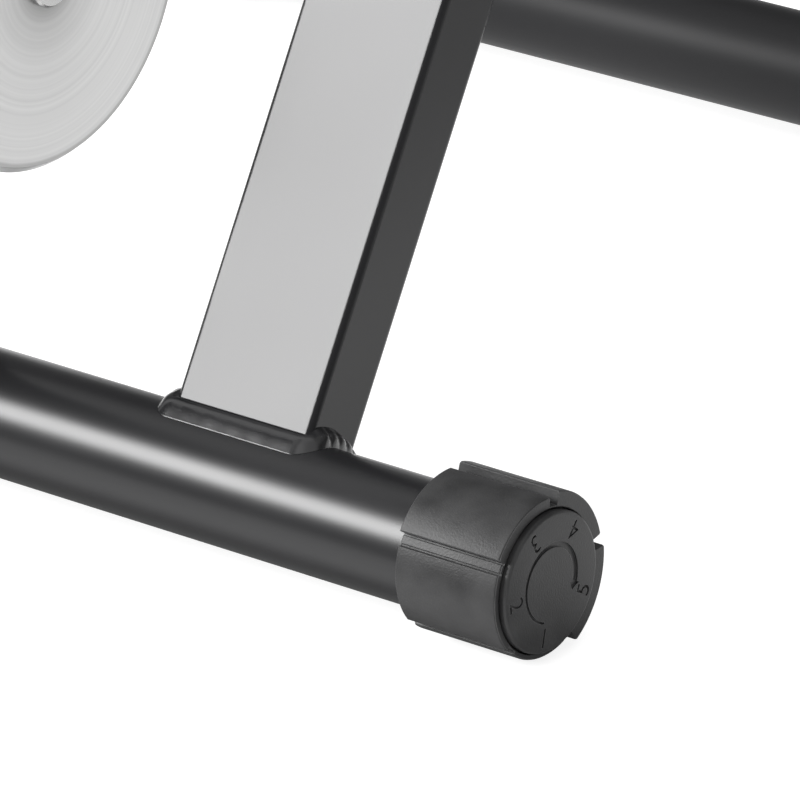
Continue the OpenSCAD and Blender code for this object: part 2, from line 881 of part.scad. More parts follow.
module tension_knob() {
    color(plastic) on_tension(tension_knob_y) rotate([0, -90, 0])
        fluted_knob(tension_knob_r, tension_knob_l, 6, tension_d / 2 + run, tension_knob_l + 1);
}

module swing_bracket() {
    rib_in = tension_d + 4;
    slot_r = tension_d / 2 + 3;
    web_half = 12;
    color(paint) on_frame() difference() {
        union() {
            plate_pair(arm_in, arm_out) link_2d(web_s, web_half + 4, roller_s, boss_r + 1);
            // Bearing bosses, the left one with a flange for the brake's can
            bar_x(boss_r, arm_out, boss_end, roller_s);
            bar_x(flange_r, -boss_end, -arm_out, roller_s);
            // Cross web between the arms, ribs and pivot tube
            side_plate(-arm_in, arm_in)
                link_2d(web_s - [0, web_half], web_t / 2, web_s + [0, web_half], web_t / 2);
            plate_pair(rib_in, swing_tube_w / 2)
                link_2d(swing_s, swing_tube_d / 2 - 1, web_s + [0, web_half * 0.7], web_t / 2 - 0.5);
            bar_x(swing_tube_d / 2, -swing_tube_w / 2, swing_tube_w / 2, swing_s);
        }
        bar_x(swing_bolt_d / 2 + run, -overall_w, overall_w, swing_s);
        bar_x(bearing_d / 2, arm_out, overall_w, roller_s);
        bar_x(bearing_d / 2, -overall_w, -arm_out, roller_s);
        bar_x(shaft_d / 2 + 3, -overall_w, overall_w, roller_s);
        translate([0, 0, web_s[1]]) rotate([90, 0, 0]) cylinder(r = slot_r, h = overall_w);
        for (at = can_screws_s) bar_x(can_screw_d / 2, -overall_w, 0, at);
    }
}

// A sealed ball bearing: its seals lie a little below the faces of the two rings
module bearing() {
    ring = 2.5;
    seal_in = 0.6;
    on_frame() translate([arm_out, roller_s[0], roller_s[1]]) rotate([0, 90, 0]) difference() {
        cylinder(d = bearing_d, h = bearing_w);
        translate([0, 0, -1]) cylinder(d = shaft_d + 2 * run, h = bearing_w + 2);
        for (z = [-1, bearing_w - seal_in]) translate([0, 0, z]) difference() {
            cylinder(d = bearing_d - 2 * ring, h = 1 + seal_in);
            translate([0, 0, -1]) cylinder(d = shaft_d + 2 * ring, h = 4);
        }
    }
}

module bearing_right() {
    color(steel) bearing();
}

module bearing_left() {
    color(steel) other_side() bearing();
}

// The brake's can: a finned cup that is open towards its cover
module fluid_housing() {
    pitch = (can_l - fin_t) / (fin_count - 1);
    at_bracket = [can_start, roller_s[0], roller_s[1]];
    color(cast) other_side() on_frame() translate(at_bracket) difference() {
        union() {
            bar_x(can_core_r, 0, can_l);
            for (k = [0:fin_count - 1]) bar_x(can_r, k * pitch, k * pitch + fin_t);
        }
        bar_x(can_core_r - 2 * can_wall, can_wall, can_l + 1);
        bar_x(shaft_d / 2 + 2, -1, can_l);
        for (k = [0:cover_screw_count - 1]) rotate([k * 360 / cover_screw_count, 0, 0])
            translate([can_l - cover_screw_l - 1, cover_screw_r, 0])
                bar_x(cover_screw_d / 2, 0, cover_screw_l + 2);
        for (at = can_screws_s) bar_x(can_screw_d / 2, -1, can_wall + 1, at - roller_s);
    }
}

module housing_screws() {
    head_h = can_screw_d * 0.7;
    color(zinc) other_side() on_frame() for (at = can_screws_s) difference() {
        union() {
            bar_x(can_screw_d / 2, arm_out - head_h, can_start + can_wall, at);
            bar_x(can_screw_d * 0.85, arm_out - head_h, arm_out, at);
        }
        hex_x(can_screw_d * 0.7, arm_out - head_h - 1, arm_out - 1, at);
    }
}

module fluid_cover() {
    lip = 2;
    color(cast) other_side() on_frame() translate([can_end, roller_s[0], roller_s[1]]) difference() {
        union() {
            bar_x(can_core_r - 2 * can_wall - pass, -lip, 0);
            bar_x(can_core_r, 0, cover_t / 2);
            translate([cover_t / 2, 0, 0]) rotate([0, 90, 0])
                cylinder(r1 = can_core_r, r2 = can_core_r - cover_t, h = cover_t / 2);
        }
        // A round dish in the middle and counterbores for the screws
        bar_x(can_core_r * 0.45, cover_t / 2, cover_t + 1);
        for (k = [0:cover_screw_count - 1]) rotate([k * 360 / cover_screw_count, 0, 0]) {
            translate([0, cover_screw_r, 0]) bar_x(cover_screw_d / 2, -1, cover_t);
            translate([0, cover_screw_r, 0]) bar_x(cover_head_r + pass, cover_t / 2, cover_t + 1);
        }
    }
}

module cover_screws() {
    head_h = cover_screw_d * 0.8;
    color(zinc) other_side() on_frame() translate([can_end, roller_s[0], roller_s[1]])
        for (k = [0:cover_screw_count - 1]) rotate([k * 360 / cover_screw_count, 0, 0])
            translate([0, cover_screw_r, 0]) difference() {
                union() {
                    bar_x(cover_screw_d / 2, -cover_screw_l, cover_t / 2);
                    bar_x(cover_head_r, cover_t / 2, cover_t / 2 + head_h);
                }
                hex_x(cover_screw_d * 0.7, cover_t / 2 + head_h / 3, cover_t);
            }
}

module shaft_seal() {
    color(rubber) other_side() on_frame() difference() {
        bar_x(shaft_d / 2 + 2, can_start, can_start + can_wall, roller_s);
        bar_x(shaft_d / 2 + run, 0, overall_w, roller_s);
    }
}

module roller() {
    color(steel) on_frame() difference() {
        bar_x(roller_d / 2, -roller_l / 2, roller_l / 2, roller_s);
        bar_x(shaft_d / 2, -overall_w, overall_w, roller_s);
    }
}

// The shaft goes in from the flywheel's side, and its head holds the flywheel
module roller_shaft() {
    edge = 0.8;
    head_end = flywheel_face + head_out;
    color(steel) on_frame() {
        bar_x(shaft_d / 2, -can_end + 6, flywheel_face, roller_s);
        difference() {
            union() {
                bar_x(head_d / 2, flywheel_face, head_end - edge, roller_s);
                translate([head_end - edge, roller_s[0], roller_s[1]]) rotate([0, 90, 0])
                    cylinder(r1 = head_d / 2, r2 = head_d / 2 - edge, h = edge);
            }
            translate([0, roller_s[0], roller_s[1]]) rotate([30, 0, 0])
                hex_x(head_socket, flywheel_face + 0.5, head_end + 1);
        }
    }
}

module flywheel() {
    back = flywheel_face - flywheel_t;
    hub_start = boss_end + 2;
    dish = 8;
    rim_w = 12;
    color(steel) on_frame() translate([0, roller_s[0], roller_s[1]]) difference() {
        union() {
            bar_x(flywheel_r, back, flywheel_face - flywheel_rim_x);
            translate([flywheel_face - flywheel_rim_x, 0, 0]) rotate([0, 90, 0])
                cylinder(r1 = flywheel_r, r2 = flywheel_r - flywheel_rim_r, h = flywheel_rim_x);
            bar_x(hub_r, hub_start, back);
        }
        // The inner side is turned out between the hub and the rim
        difference() {
            bar_x(flywheel_r - rim_w, back - 1, back + dish);
            bar_x(hub_r, back - 2, back + dish + 1);
        }
        bar_x(shaft_d / 2, 0, overall_w);
    }
}

module impeller() {
    hub = shaft_d / 2 + 6;
    blade_l = 24;
    blade_t = 3;
    start = can_start + can_wall + 6;
    color(cast) other_side() on_frame() translate([start, roller_s[0], roller_s[1]]) difference() {
        union() {
            bar_x(hub, 0, blade_l);
            bar_x(impeller_r, 0, 3);
            for (k = [0:blade_count - 1]) rotate([k * 360 / blade_count, 0, 0])
                translate([0, hub - 2, -blade_t / 2]) cube([blade_l, impeller_r - hub, blade_t]);
        }
        bar_x(shaft_d / 2, -1, blade_l + 1);
    }
}

rear_crossbar();
rear_leg_left();
rear_leg_right();
leg_weld_left();
leg_weld_right();
clamp_sleeve_left();
clamp_sleeve_right();
hinge_ears_left();
hinge_ears_right();
hinge_bolts();
hinge_nuts();
hinge_washers();
base_bracket();
swing_pivot_bolt();
swing_pivot_nut();
tension_screw();
tension_spring();
spindle_bush();
plunger_bush();
clamp_housing();
lever_pin();
clamp_spring();
front_crossbar();
front_leg_left();
front_leg_right();
front_leg_welds();
front_foot_cap_left();
front_foot_cap_right();
hinge_bushes();
rear_foot_cap_left();
rear_foot_cap_right();
axle_cup_right();
adjuster_screw();
adjuster_knob();
lock_ring();
clamp_plunger();
axle_cup_left();
clamp_lever();
lever_grip();
swing_bracket();
bearing_left();
bearing_right();
fluid_housing();
fluid_cover();
cover_screws();
housing_screws();
shaft_seal();
roller();
roller_shaft();
flywheel();
impeller();
tension_washer();
tension_knob();
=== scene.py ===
# Finished look of a folding bicycle trainer: a black tube frame on rubber feet that clamps
# the rear axle, with a steel roller, a flywheel and a finned fluid brake behind it.
import bpy
import bmesh
import math
from mathutils import Matrix, Vector


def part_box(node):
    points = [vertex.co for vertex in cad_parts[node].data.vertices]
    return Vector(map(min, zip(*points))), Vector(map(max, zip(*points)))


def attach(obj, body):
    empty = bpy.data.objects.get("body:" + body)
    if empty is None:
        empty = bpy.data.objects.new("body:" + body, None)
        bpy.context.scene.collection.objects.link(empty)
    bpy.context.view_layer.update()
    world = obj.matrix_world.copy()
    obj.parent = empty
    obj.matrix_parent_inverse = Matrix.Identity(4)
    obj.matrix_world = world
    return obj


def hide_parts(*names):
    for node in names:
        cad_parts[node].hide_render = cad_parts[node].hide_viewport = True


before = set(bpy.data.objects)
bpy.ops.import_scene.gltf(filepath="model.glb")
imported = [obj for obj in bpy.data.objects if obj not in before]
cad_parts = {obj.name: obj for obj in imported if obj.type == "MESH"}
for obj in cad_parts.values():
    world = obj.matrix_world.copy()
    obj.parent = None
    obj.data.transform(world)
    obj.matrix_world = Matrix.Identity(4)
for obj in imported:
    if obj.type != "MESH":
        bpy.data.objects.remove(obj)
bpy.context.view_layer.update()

# ------------------------------------
# Camera
# A long lens behind the trainer's right rear foot, a little above it, so that the foot
# stands at the lower right of the picture and the flywheel at its left edge.

MM = 0.001
VIEW_TURN = math.radians(38.827)
VIEW_RISE = math.radians(21.543)
VIEW_DISTANCE = 2.3292
LENS_PIXELS = 7726.2
PICTURE_PIXELS = 800
SENSOR_WIDTH = 36
FOOT_PIXEL = (551.689, 582.876)


def axis_of(name):
    """The middle of a solid's box, set to x = 0."""
    low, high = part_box(name)
    return Vector((0, (low.y + high.y) / 2, (low.z + high.z) / 2))


def new_object(name, data):
    """An object linked to the scene."""
    made = bpy.data.objects.new(name, data)
    bpy.context.scene.collection.objects.link(made)
    return made


BAR = axis_of("rear_crossbar")
FOOT_FACE_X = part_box("rear_foot_cap_right")[1].x
view_back = Vector((
    math.sin(VIEW_TURN) * math.cos(VIEW_RISE),
    -math.cos(VIEW_TURN) * math.cos(VIEW_RISE),
    math.sin(VIEW_RISE),
))
view_right = Vector((math.cos(VIEW_TURN), math.sin(VIEW_TURN), 0))
view_up = view_back.cross(view_right)
pixel_size = VIEW_DISTANCE / LENS_PIXELS

camera_data = bpy.data.cameras.new("photo_camera")
camera_data.sensor_fit = "HORIZONTAL"
camera_data.sensor_width = SENSOR_WIDTH
camera_data.lens = LENS_PIXELS * SENSOR_WIDTH / PICTURE_PIXELS
camera_data.clip_start = 0.05
camera_data.clip_end = 60
camera = new_object("photo_camera", camera_data)
camera.matrix_world = Matrix((view_right, view_up, view_back)).transposed().to_4x4()
camera.location = (
    Vector((FOOT_FACE_X, BAR.y, BAR.z))
    + view_back * VIEW_DISTANCE
    - view_right * (FOOT_PIXEL[0] - PICTURE_PIXELS / 2) * pixel_size
    + view_up * (FOOT_PIXEL[1] - PICTURE_PIXELS / 2) * pixel_size
)
bpy.context.scene.camera = camera

# ------------------------------------
# Studio
# A white sweep under the trainer, one large soft box behind and left of the camera, a
# weak top light, and dim surroundings that give the black tubes their dark bands.

KEY_TOWARDS = Vector((-0.583, -0.681, 0.4425)).normalized()
KEY_DISTANCE = 8.0
KEY_SIZE = (4.8, 2.8)
KEY_RADIANCE = 19.5
SURROUND_LEVEL = 0.32
TOP_LEVEL = 1.1
FLOOR_GLOW = 0.82
FLOOR_ALBEDO = 0.8
FLOOR_ALBEDO_SEEN = 0.42
MIRRORED_GLOW = 0.68
WHITE = (1, 1, 1, 1)
bpy.context.scene.view_settings.view_transform = "Standard"


def soft_box(name):
    """A large lamp that the camera doesn't see."""
    data = bpy.data.lights.new(name, "AREA")
    data.shape = "RECTANGLE"
    data.size, data.size_y = KEY_SIZE
    data.energy = KEY_RADIANCE * math.pi * KEY_SIZE[0] * KEY_SIZE[1]
    lamp = new_object(name, data)
    lamp.location = BAR + KEY_TOWARDS * KEY_DISTANCE
    lamp.rotation_mode = "QUATERNION"
    lamp.rotation_quaternion = KEY_TOWARDS.to_track_quat("Z", "Y")
    lamp.visible_camera = False
    return lamp


def feed(tree, source, target):
    """Links a socket to an input, or gives the input a plain value."""
    if isinstance(source, bpy.types.NodeSocket):
        tree.links.new(source, target)
    else:
        target.default_value = source


def node(tree, kind, inputs=None, **settings):
    """A node with its settings, and its inputs fed by title or by index."""
    made = tree.nodes.new(kind)
    for title, value in settings.items():
        setattr(made, title, value)
    for title, value in (inputs or {}).items():
        feed(tree, value, made.inputs[title])
    return made


def calc(tree, operation, first, second=None, clamp=False):
    """The result of a sum on one or two sockets or numbers."""
    inputs = {0: first} if second is None else {0: first, 1: second}
    return node(tree, "ShaderNodeMath", inputs, operation=operation, use_clamp=clamp).outputs[0]


def span(tree, value, source, target, curve="LINEAR"):
    """A value carried from one range to another."""
    return node(tree, "ShaderNodeMapRange", {
        "Value": value, "From Min": source[0], "From Max": source[1], "To Min": target[0], "To Max": target[1],
    }, interpolation_type=curve).outputs[0]


def ramp(tree, factor, stops):
    """A grey level read off stops of place and level."""
    made = node(tree, "ShaderNodeValToRGB", {"Fac": factor})
    elements = made.color_ramp.elements
    while len(elements) < len(stops):
        elements.new(0.5)
    for element, (position, level) in zip(elements, stops):
        element.position = position
        element.color = (level, level, level, 1)
    return made.outputs["Color"]


def split(tree, coordinates):
    """The X, Y and Z outputs of one kind of texture coordinates."""
    return node(tree, "ShaderNodeSeparateXYZ", {0: node(tree, "ShaderNodeTexCoord").outputs[coordinates]}).outputs


def raw_mesh(name, points, faces):
    """A mesh from points and faces as they are."""
    mesh = bpy.data.meshes.new(name)
    mesh.from_pydata([tuple(point) for point in points], [], faces)
    return mesh


key = soft_box("soft_box")
world = bpy.data.worlds.new("studio")
bpy.context.scene.world = world
world.use_nodes = True
sky = world.node_tree
sky.nodes.clear()
sky_path = node(sky, "ShaderNodeLightPath").outputs
sky_way = split(sky, "Generated")
# Angle round the crossbars' axis: 0.5 is level behind the trainer, 0.75 straight up
sky_turn = calc(sky, "ARCTAN2", sky_way["Z"], calc(sky, "MULTIPLY", sky_way["Y"], -1.0))
sky_bands = ramp(sky, calc(sky, "ADD", calc(sky, "DIVIDE", sky_turn, 2 * math.pi), 0.5), (
    (0.00, 1.0), (0.10, 0.9), (0.40, 0.5), (0.49, 0.15), (0.60, 0.30), (0.66, 1.0),
    (0.70, 0.75), (0.785, 0.75), (0.83, 0.20), (0.87, 0.10), (0.95, 0.20), (0.985, 1.0),
))
# The surroundings brighten towards the weak top light, and their reflection dims to the right
sky_plain = node(sky, "ShaderNodeBackground", {
    "Color": WHITE,
    "Strength": span(sky, sky_way["Z"], (0.25, 0.95), (SURROUND_LEVEL, TOP_LEVEL), "SMOOTHSTEP"),
})
sky_mirrored = node(sky, "ShaderNodeBackground", {
    "Color": sky_bands, "Strength": span(sky, sky_way["X"], (0.05, 0.45), (1.0, 0.80), "SMOOTHSTEP"),
})
sky_white = node(sky, "ShaderNodeBackground", {"Color": WHITE})
sky_lit = node(sky, "ShaderNodeMixShader", {
    0: sky_path["Is Glossy Ray"], 1: sky_plain.outputs[0], 2: sky_mirrored.outputs[0],
})
sky_seen = node(sky, "ShaderNodeMixShader", {
    0: calc(sky, "MAXIMUM", sky_path["Is Camera Ray"], sky_path["Is Transmission Ray"]),
    1: sky_lit.outputs[0], 2: sky_white.outputs[0],
})
node(sky, "ShaderNodeOutputWorld", {"Surface": sky_seen.outputs[0]})

floor_mesh = raw_mesh("studio_floor", [(-20, -20, 0), (20, -20, 0), (20, 20, 0), (-20, 20, 0)], [(0, 1, 2, 3)])
floor = new_object("studio_floor", floor_mesh)
floor.location.z = -0.0002
floor_material = bpy.data.materials.new("white_sweep")
floor_material.use_nodes = True
sweep = floor_material.node_tree
sweep.nodes.clear()
sweep_path = node(sweep, "ShaderNodeLightPath").outputs
camera_ray, glossy_ray = sweep_path["Is Camera Ray"], sweep_path["Is Glossy Ray"]
sweep_place = split(sweep, "Object")
# Seen in a reflection, the sweep glows at a painted level: a painted shadow under the crossbar, and painted darkness
# far behind it and at the far right
painted_reflection_strip = ramp(sweep, span(sweep, sweep_place["Y"], (BAR.y - 0.25, BAR.y + 0.25), (0.0, 1.0)), (
    (0.00, 0.08), (0.18, 0.08), (0.34, 0.84), (0.430, 0.84), (0.46, 0.22), (0.54, 0.22), (0.62, 1.0),
))
painted_reflection_level = calc(sweep, "MULTIPLY", painted_reflection_strip,
                   span(sweep, sweep_place["X"], (0.28, 0.44), (1.0, 0.55), "SMOOTHSTEP"))
sweep_glow = node(sweep, "ShaderNodeEmission", {"Strength": calc(
    sweep, "ADD", calc(sweep, "MULTIPLY", camera_ray, FLOOR_GLOW),
    calc(sweep, "MULTIPLY", calc(sweep, "MULTIPLY", glossy_ray, MIRRORED_GLOW), painted_reflection_level),
)})
sweep_dim = calc(sweep, "SUBTRACT", 1.0, calc(sweep, "MULTIPLY", glossy_ray, calc(sweep, "SUBTRACT", 1.0, painted_reflection_level)))
sweep_shade = calc(sweep, "MULTIPLY", sweep_dim, calc(
    sweep, "SUBTRACT", FLOOR_ALBEDO, calc(sweep, "MULTIPLY", camera_ray, FLOOR_ALBEDO - FLOOR_ALBEDO_SEEN)))
sweep_grey = node(sweep, "ShaderNodeCombineColor", {channel: sweep_shade for channel in range(3)})
sweep_paper = node(sweep, "ShaderNodeBsdfDiffuse", {"Color": sweep_grey.outputs[0]})
sweep_both = node(sweep, "ShaderNodeAddShader", {0: sweep_glow.outputs[0], 1: sweep_paper.outputs[0]})
node(sweep, "ShaderNodeOutputMaterial", {"Surface": sweep_both.outputs[0]})
floor_mesh.materials.append(floor_material)

# ------------------------------------
# Frame tubes and plates
# Crossbars, rectangular legs, sleeves, hinge ears and brackets of welded mild steel,
# all under one coat of black powder that lies smooth and half glossy.

PAINT_BLACK = (0.0125, 0.0125, 0.0135)
PAINT_ROUGHNESS = 0.30
LEG_PAINT_ROUGHNESS = 0.20
FRONT_PAINT_ROUGHNESS = 0.50
RUBBED_PAINT = (0.05, 0.05, 0.052)


def new_tree(name, kind, inputs, outputs):
    """A tree of nodes with a type for each named socket; returns it with its two ends."""
    tree = bpy.data.node_groups.new(name, kind)
    for in_out, sockets in (("INPUT", inputs), ("OUTPUT", outputs)):
        for title, socket in sockets.items():
            tree.interface.new_socket(name=title, in_out=in_out, socket_type=f"NodeSocket{socket}")
    return tree, tree.nodes.new("NodeGroupInput").outputs, tree.nodes.new("NodeGroupOutput").inputs


def noise(tree, place, scale, detail):
    """Noise at a place, as a grey level."""
    return node(tree, "ShaderNodeTexNoise", {"Vector": place, "Scale": scale, "Detail": detail}).outputs["Fac"]


# Fine grain: a height for the bump and a mask of broad and small blotches
grain, grain_in, grain_out = new_tree(
    "fine_grain", "ShaderNodeTree",
    {"Scale": "Float", "Blotch Scale": "Float"}, {"Height": "Float", "Blotches": "Float"},
)
grain_place = node(grain, "ShaderNodeTexCoord").outputs["Object"]
feed(grain, noise(grain, grain_place, grain_in["Scale"], 3.0), grain_out["Height"])
feed(grain, noise(grain, grain_place, grain_in["Blotch Scale"], 5.0), grain_out["Blotches"])

# Rounded edges: a normal that rolls over the edge, and a mask of the edge itself, where a lighter colour is rubbed wear
# and, on the rubber, also a painted highlight
edges, edges_in, edges_out = new_tree(
    "rounded_edges", "ShaderNodeTree",
    {"Radius": "Float", "Edge Wear And Sheen": "Float"}, {"Normal": "Vector", "Worn And Sheen Edges": "Float"},
)
edges_round = node(edges, "ShaderNodeBevel", {"Radius": edges_in["Radius"]}, samples=6).outputs[0]
edges_flat = node(edges, "ShaderNodeNewGeometry").outputs["Normal"]
edges_same = node(edges, "ShaderNodeVectorMath", {0: edges_round, 1: edges_flat}, operation="DOT_PRODUCT")
edges_bend = calc(edges, "SUBTRACT", 1.0, edges_same.outputs["Value"])
edges_noise = noise(edges, node(edges, "ShaderNodeTexCoord").outputs["Object"], 220.0, 4.0)
edges_patch = calc(edges, "MULTIPLY", calc(edges, "MULTIPLY", edges_bend, 6.0, clamp=True), edges_noise)
feed(edges, calc(edges, "MULTIPLY", edges_patch, edges_in["Edge Wear And Sheen"], clamp=True), edges_out["Worn And Sheen Edges"])
feed(edges, edges_round, edges_out["Normal"])


def principled(name):
    """A new material, its tree and the inputs of its shader."""
    material = bpy.data.materials.new(name)
    material.use_nodes = True
    return material, material.node_tree, material.node_tree.nodes["Principled BSDF"].inputs


def mixed(tree, factor, first, second, blend="MIX"):
    """Two colours mixed by a factor."""
    return node(tree, "ShaderNodeMix", {"Factor": factor, "A": first, "B": second},
                data_type="RGBA", blend_type=blend).outputs["Result"]


def relief(tree, height, normal, strength, distance):
    """A normal with a height's relief on it."""
    return node(tree, "ShaderNodeBump", {
        "Strength": strength, "Distance": distance, "Height": height, "Normal": normal,
    }).outputs[0]


def finish_material(name, colour, roughness, metallic=0.0, light=None, rough_swing=0.06, grain_scale=900.0,
                    blotch_scale=30.0, bump=0.05, bump_distance=0.0001, edge=0.0008, edge_wear_and_sheen=0.5,
                    edge_wear_and_sheen_colour=None, specular=0.5):
    """A finish with grain, uneven gloss and rolled edges, lighter where rubbed; on the rubber the lighter edges are
    also a painted highlight.
    """
    material, tree, shader = principled(name)
    light = light or [min(1, c * 1.25) for c in colour]
    edge_wear_and_sheen_colour = edge_wear_and_sheen_colour or [min(1, c * 1.8 + 0.01) for c in colour]
    fine = node(tree, "ShaderNodeGroup", {"Scale": grain_scale, "Blotch Scale": blotch_scale}, node_tree=grain).outputs
    rolled = node(tree, "ShaderNodeGroup", {"Radius": edge, "Edge Wear And Sheen": edge_wear_and_sheen}, node_tree=edges).outputs
    tone = mixed(tree, fine["Blotches"], (*colour, 1), (*light, 1))
    shader["Metallic"].default_value = metallic
    shader["Specular IOR Level"].default_value = specular
    feed(tree, mixed(tree, rolled["Worn And Sheen Edges"], tone, (*edge_wear_and_sheen_colour, 1)), shader["Base Color"])
    feed(tree, span(tree, fine["Blotches"], (0.0, 1.0), (roughness - rough_swing, roughness + rough_swing)),
         shader["Roughness"])
    feed(tree, relief(tree, fine["Height"], rolled["Normal"], bump, bump_distance), shader["Normal"])
    return material


def dress(material, *names):
    """Gives the frame's own solids their finish."""
    for name in names:
        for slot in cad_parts[name].material_slots:
            slot.material = material


powder = dict(rough_swing=0.03, grain_scale=700.0, blotch_scale=14.0, bump_distance=0.00008, edge=0.0009, edge_wear_and_sheen=0.35,
              edge_wear_and_sheen_colour=RUBBED_PAINT)
frame_paint = finish_material("black_powder_coat", PAINT_BLACK, PAINT_ROUGHNESS, **powder)
leg_paint = finish_material("black_powder_coat_legs", PAINT_BLACK, LEG_PAINT_ROUGHNESS, specular=0.33, **powder)
front_paint = finish_material("black_powder_coat_front", PAINT_BLACK, FRONT_PAINT_ROUGHNESS, specular=0.2, **powder)
dress(frame_paint, "rear_crossbar", "clamp_sleeve_left", "clamp_sleeve_right", "hinge_ears_left",
      "hinge_ears_right", "base_bracket", "clamp_housing", "swing_bracket")
dress(leg_paint, "rear_leg_left", "rear_leg_right")
dress(front_paint, "front_crossbar", "front_leg_left", "front_leg_right")

# ------------------------------------
# Weld beads
# Each leg stands on its crossbar in a fillet weld under the paint: drawn smooth along the
# wide faces, and with the ripples of the moving puddle on the narrow ones.

LEG_X = 129 * MM
LEG_WIDTH = 54 * MM
FRONT_LEG_WIDTH = 49 * MM
LEG_THICKNESS = 25 * MM
LEG_CORNER = 2.2 * MM
LEG_LEAN = math.radians(28.556)
LEG_SHIFT = 3.8 * MM
BAR_RADIUS = 20 * MM
WELD_SAMPLES_PER_MM = 2.0
WELD_REACH = 5.4 * MM
WELD_ROOT = 1.2 * MM
WELD_RISES = (3.5 * MM, 5.6 * MM)
WELD_BULGES = (3.15 * MM, 3.0 * MM)
RIPPLE_HEIGHT = 0.9 * MM
RIPPLE_PITCH = 4.4 * MM
WAVE_PITCH = 9 * MM
WAVE_SHARE = 0.14

weld_paint = finish_material("black_powder_coat_weld", PAINT_BLACK, 0.20, rough_swing=0.05, grain_scale=500.0,
                             blotch_scale=60.0, bump=0.12, bump_distance=0.0002, edge=0.0004, edge_wear_and_sheen=0.3,
                             edge_wear_and_sheen_colour=RUBBED_PAINT, specular=0.9)


def place_piece(mesh, name, material, body, replaced, sharp=35):
    """Dresses a mesh, sets it on its body and hides the frame solid it stands for."""
    mesh.materials.clear()
    mesh.materials.append(material)
    mesh.polygons.foreach_set("use_smooth", [True] * len(mesh.polygons))
    mesh.set_sharp_from_angle(angle=math.radians(sharp))
    made = new_object(name, mesh)
    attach(made, body)
    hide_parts(replaced)


def mesh_piece(name, shape, material, body, replaced, sharp=35):
    """A finished piece from points and faces: normals outward, smooth except at real edges."""
    mesh = raw_mesh(name, *shape)
    work = bmesh.new()
    work.from_mesh(mesh)
    bmesh.ops.remove_doubles(work, verts=work.verts, dist=1e-7)
    bmesh.ops.recalc_face_normals(work, faces=work.faces)
    work.to_mesh(mesh)
    work.free()
    place_piece(mesh, name, material, body, replaced, sharp)


def loft(rings, closed=False):
    """Points and faces through rings of equal count; one-point rings close the ends."""
    vertices, starts = [], []
    count = max(len(ring) for ring in rings)
    for ring in rings:
        starts.append(len(vertices))
        vertices += [Vector(point) for point in ring]

    def at(index, step):
        return starts[index] + (step % count if len(rings[index]) > 1 else 0)

    faces = []
    for index in range(len(rings) if closed else len(rings) - 1):
        other = (index + 1) % len(rings)
        for step in range(count):
            corners = []
            for corner in (at(index, step), at(index, step + 1), at(other, step + 1), at(other, step)):
                if corner not in corners:
                    corners.append(corner)
            if len(corners) > 2:
                faces.append(tuple(corners))
    return vertices, faces


def merged(shapes):
    """One list of points and faces from several."""
    vertices, faces = [], []
    for points, sides in shapes:
        start = len(vertices)
        vertices += points
        faces += [tuple(start + k for k in side) for side in sides]
    return vertices, faces


def leg_outline(width):
    """Points and outward normals round a leg's section, with the bead's ripple at each."""
    points = []
    wide, narrow = width - 2 * LEG_CORNER, LEG_THICKNESS - 2 * LEG_CORNER
    sides = (
        ((wide / 2, -LEG_THICKNESS / 2), (0, -1), (-1, 0), wide),
        ((-width / 2, -narrow / 2), (-1, 0), (0, 1), narrow),
        ((-wide / 2, LEG_THICKNESS / 2), (0, 1), (1, 0), wide),
        ((width / 2, narrow / 2), (1, 0), (0, -1), narrow),
    )
    for start, normal, along, length in sides:
        start, normal, along = Vector(start), Vector(normal), Vector(along)
        steps = int(length / MM * WELD_SAMPLES_PER_MM)
        for i in range(steps + 1):
            place = length * i / steps
            ripple = abs(math.sin(math.pi * place / RIPPLE_PITCH)) ** 0.7
            if length == wide:
                ripple = WAVE_SHARE * abs(math.sin(math.pi * place / WAVE_PITCH))
            points.append((start + along * length * i / steps, normal, ripple))
        centre = start + along * length - normal * LEG_CORNER
        for i in range(1, 6):
            turn = math.pi / 2 * i / 6
            out = normal * math.cos(turn) + along * math.sin(turn)
            points.append((centre + out * LEG_CORNER, out, 0))
    return points


def weld_bead(base, along, across, width, bar, side):
    """A closed ring of weld where a leg's section meets a round bar, on one side of the trainer."""
    def meet(place):
        """Where a line along the leg, from a place on its section, meets the bar."""
        start = base + across * place.y
        b = (start - bar).dot(along)
        c = (start - bar).length_squared - BAR_RADIUS ** 2
        return start + along * (-b + math.sqrt(max(b * b - c, 0))) + Vector((place.x, 0, 0))

    rings = []
    for at, out, ripple in leg_outline(width):
        wide_share = abs(out.y)
        rise, bulge = (pair[0] * wide_share + pair[1] * (1 - wide_share) for pair in (WELD_RISES, WELD_BULGES))
        corner, toe = meet(at), meet(at + out * WELD_REACH)
        away = along * 0.6 + across * out.y * 0.7 + Vector((out.x * 0.7, 0, 0))
        ring = []
        for k in range(9):
            t = k / 8
            point = (corner + along * rise) * (1 - t) ** 2 + corner * 2 * t * (1 - t) + toe * t ** 2
            ring.append(point + away * math.sin(math.pi * t) * (bulge + RIPPLE_HEIGHT * ripple))
        ring.append(meet(at - out * WELD_ROOT) - along * MM)
        rings.append([Vector((side * (point.x + LEG_X), point.y, point.z)) for point in ring])
    return loft(rings, closed=True)


leg_along = Vector((0, math.sin(LEG_LEAN), math.cos(LEG_LEAN)))
leg_across = Vector((0, math.cos(LEG_LEAN), -math.sin(LEG_LEAN)))
leg_base = BAR + Vector((0, LEG_SHIFT, 0))
for side, title in ((1, "right"), (-1, "left")):
    mesh_piece(f"rear_weld_bead_{title}", weld_bead(leg_base, leg_along, leg_across, LEG_WIDTH, BAR, side),
               weld_paint, "root", f"leg_weld_{title}", sharp=60)

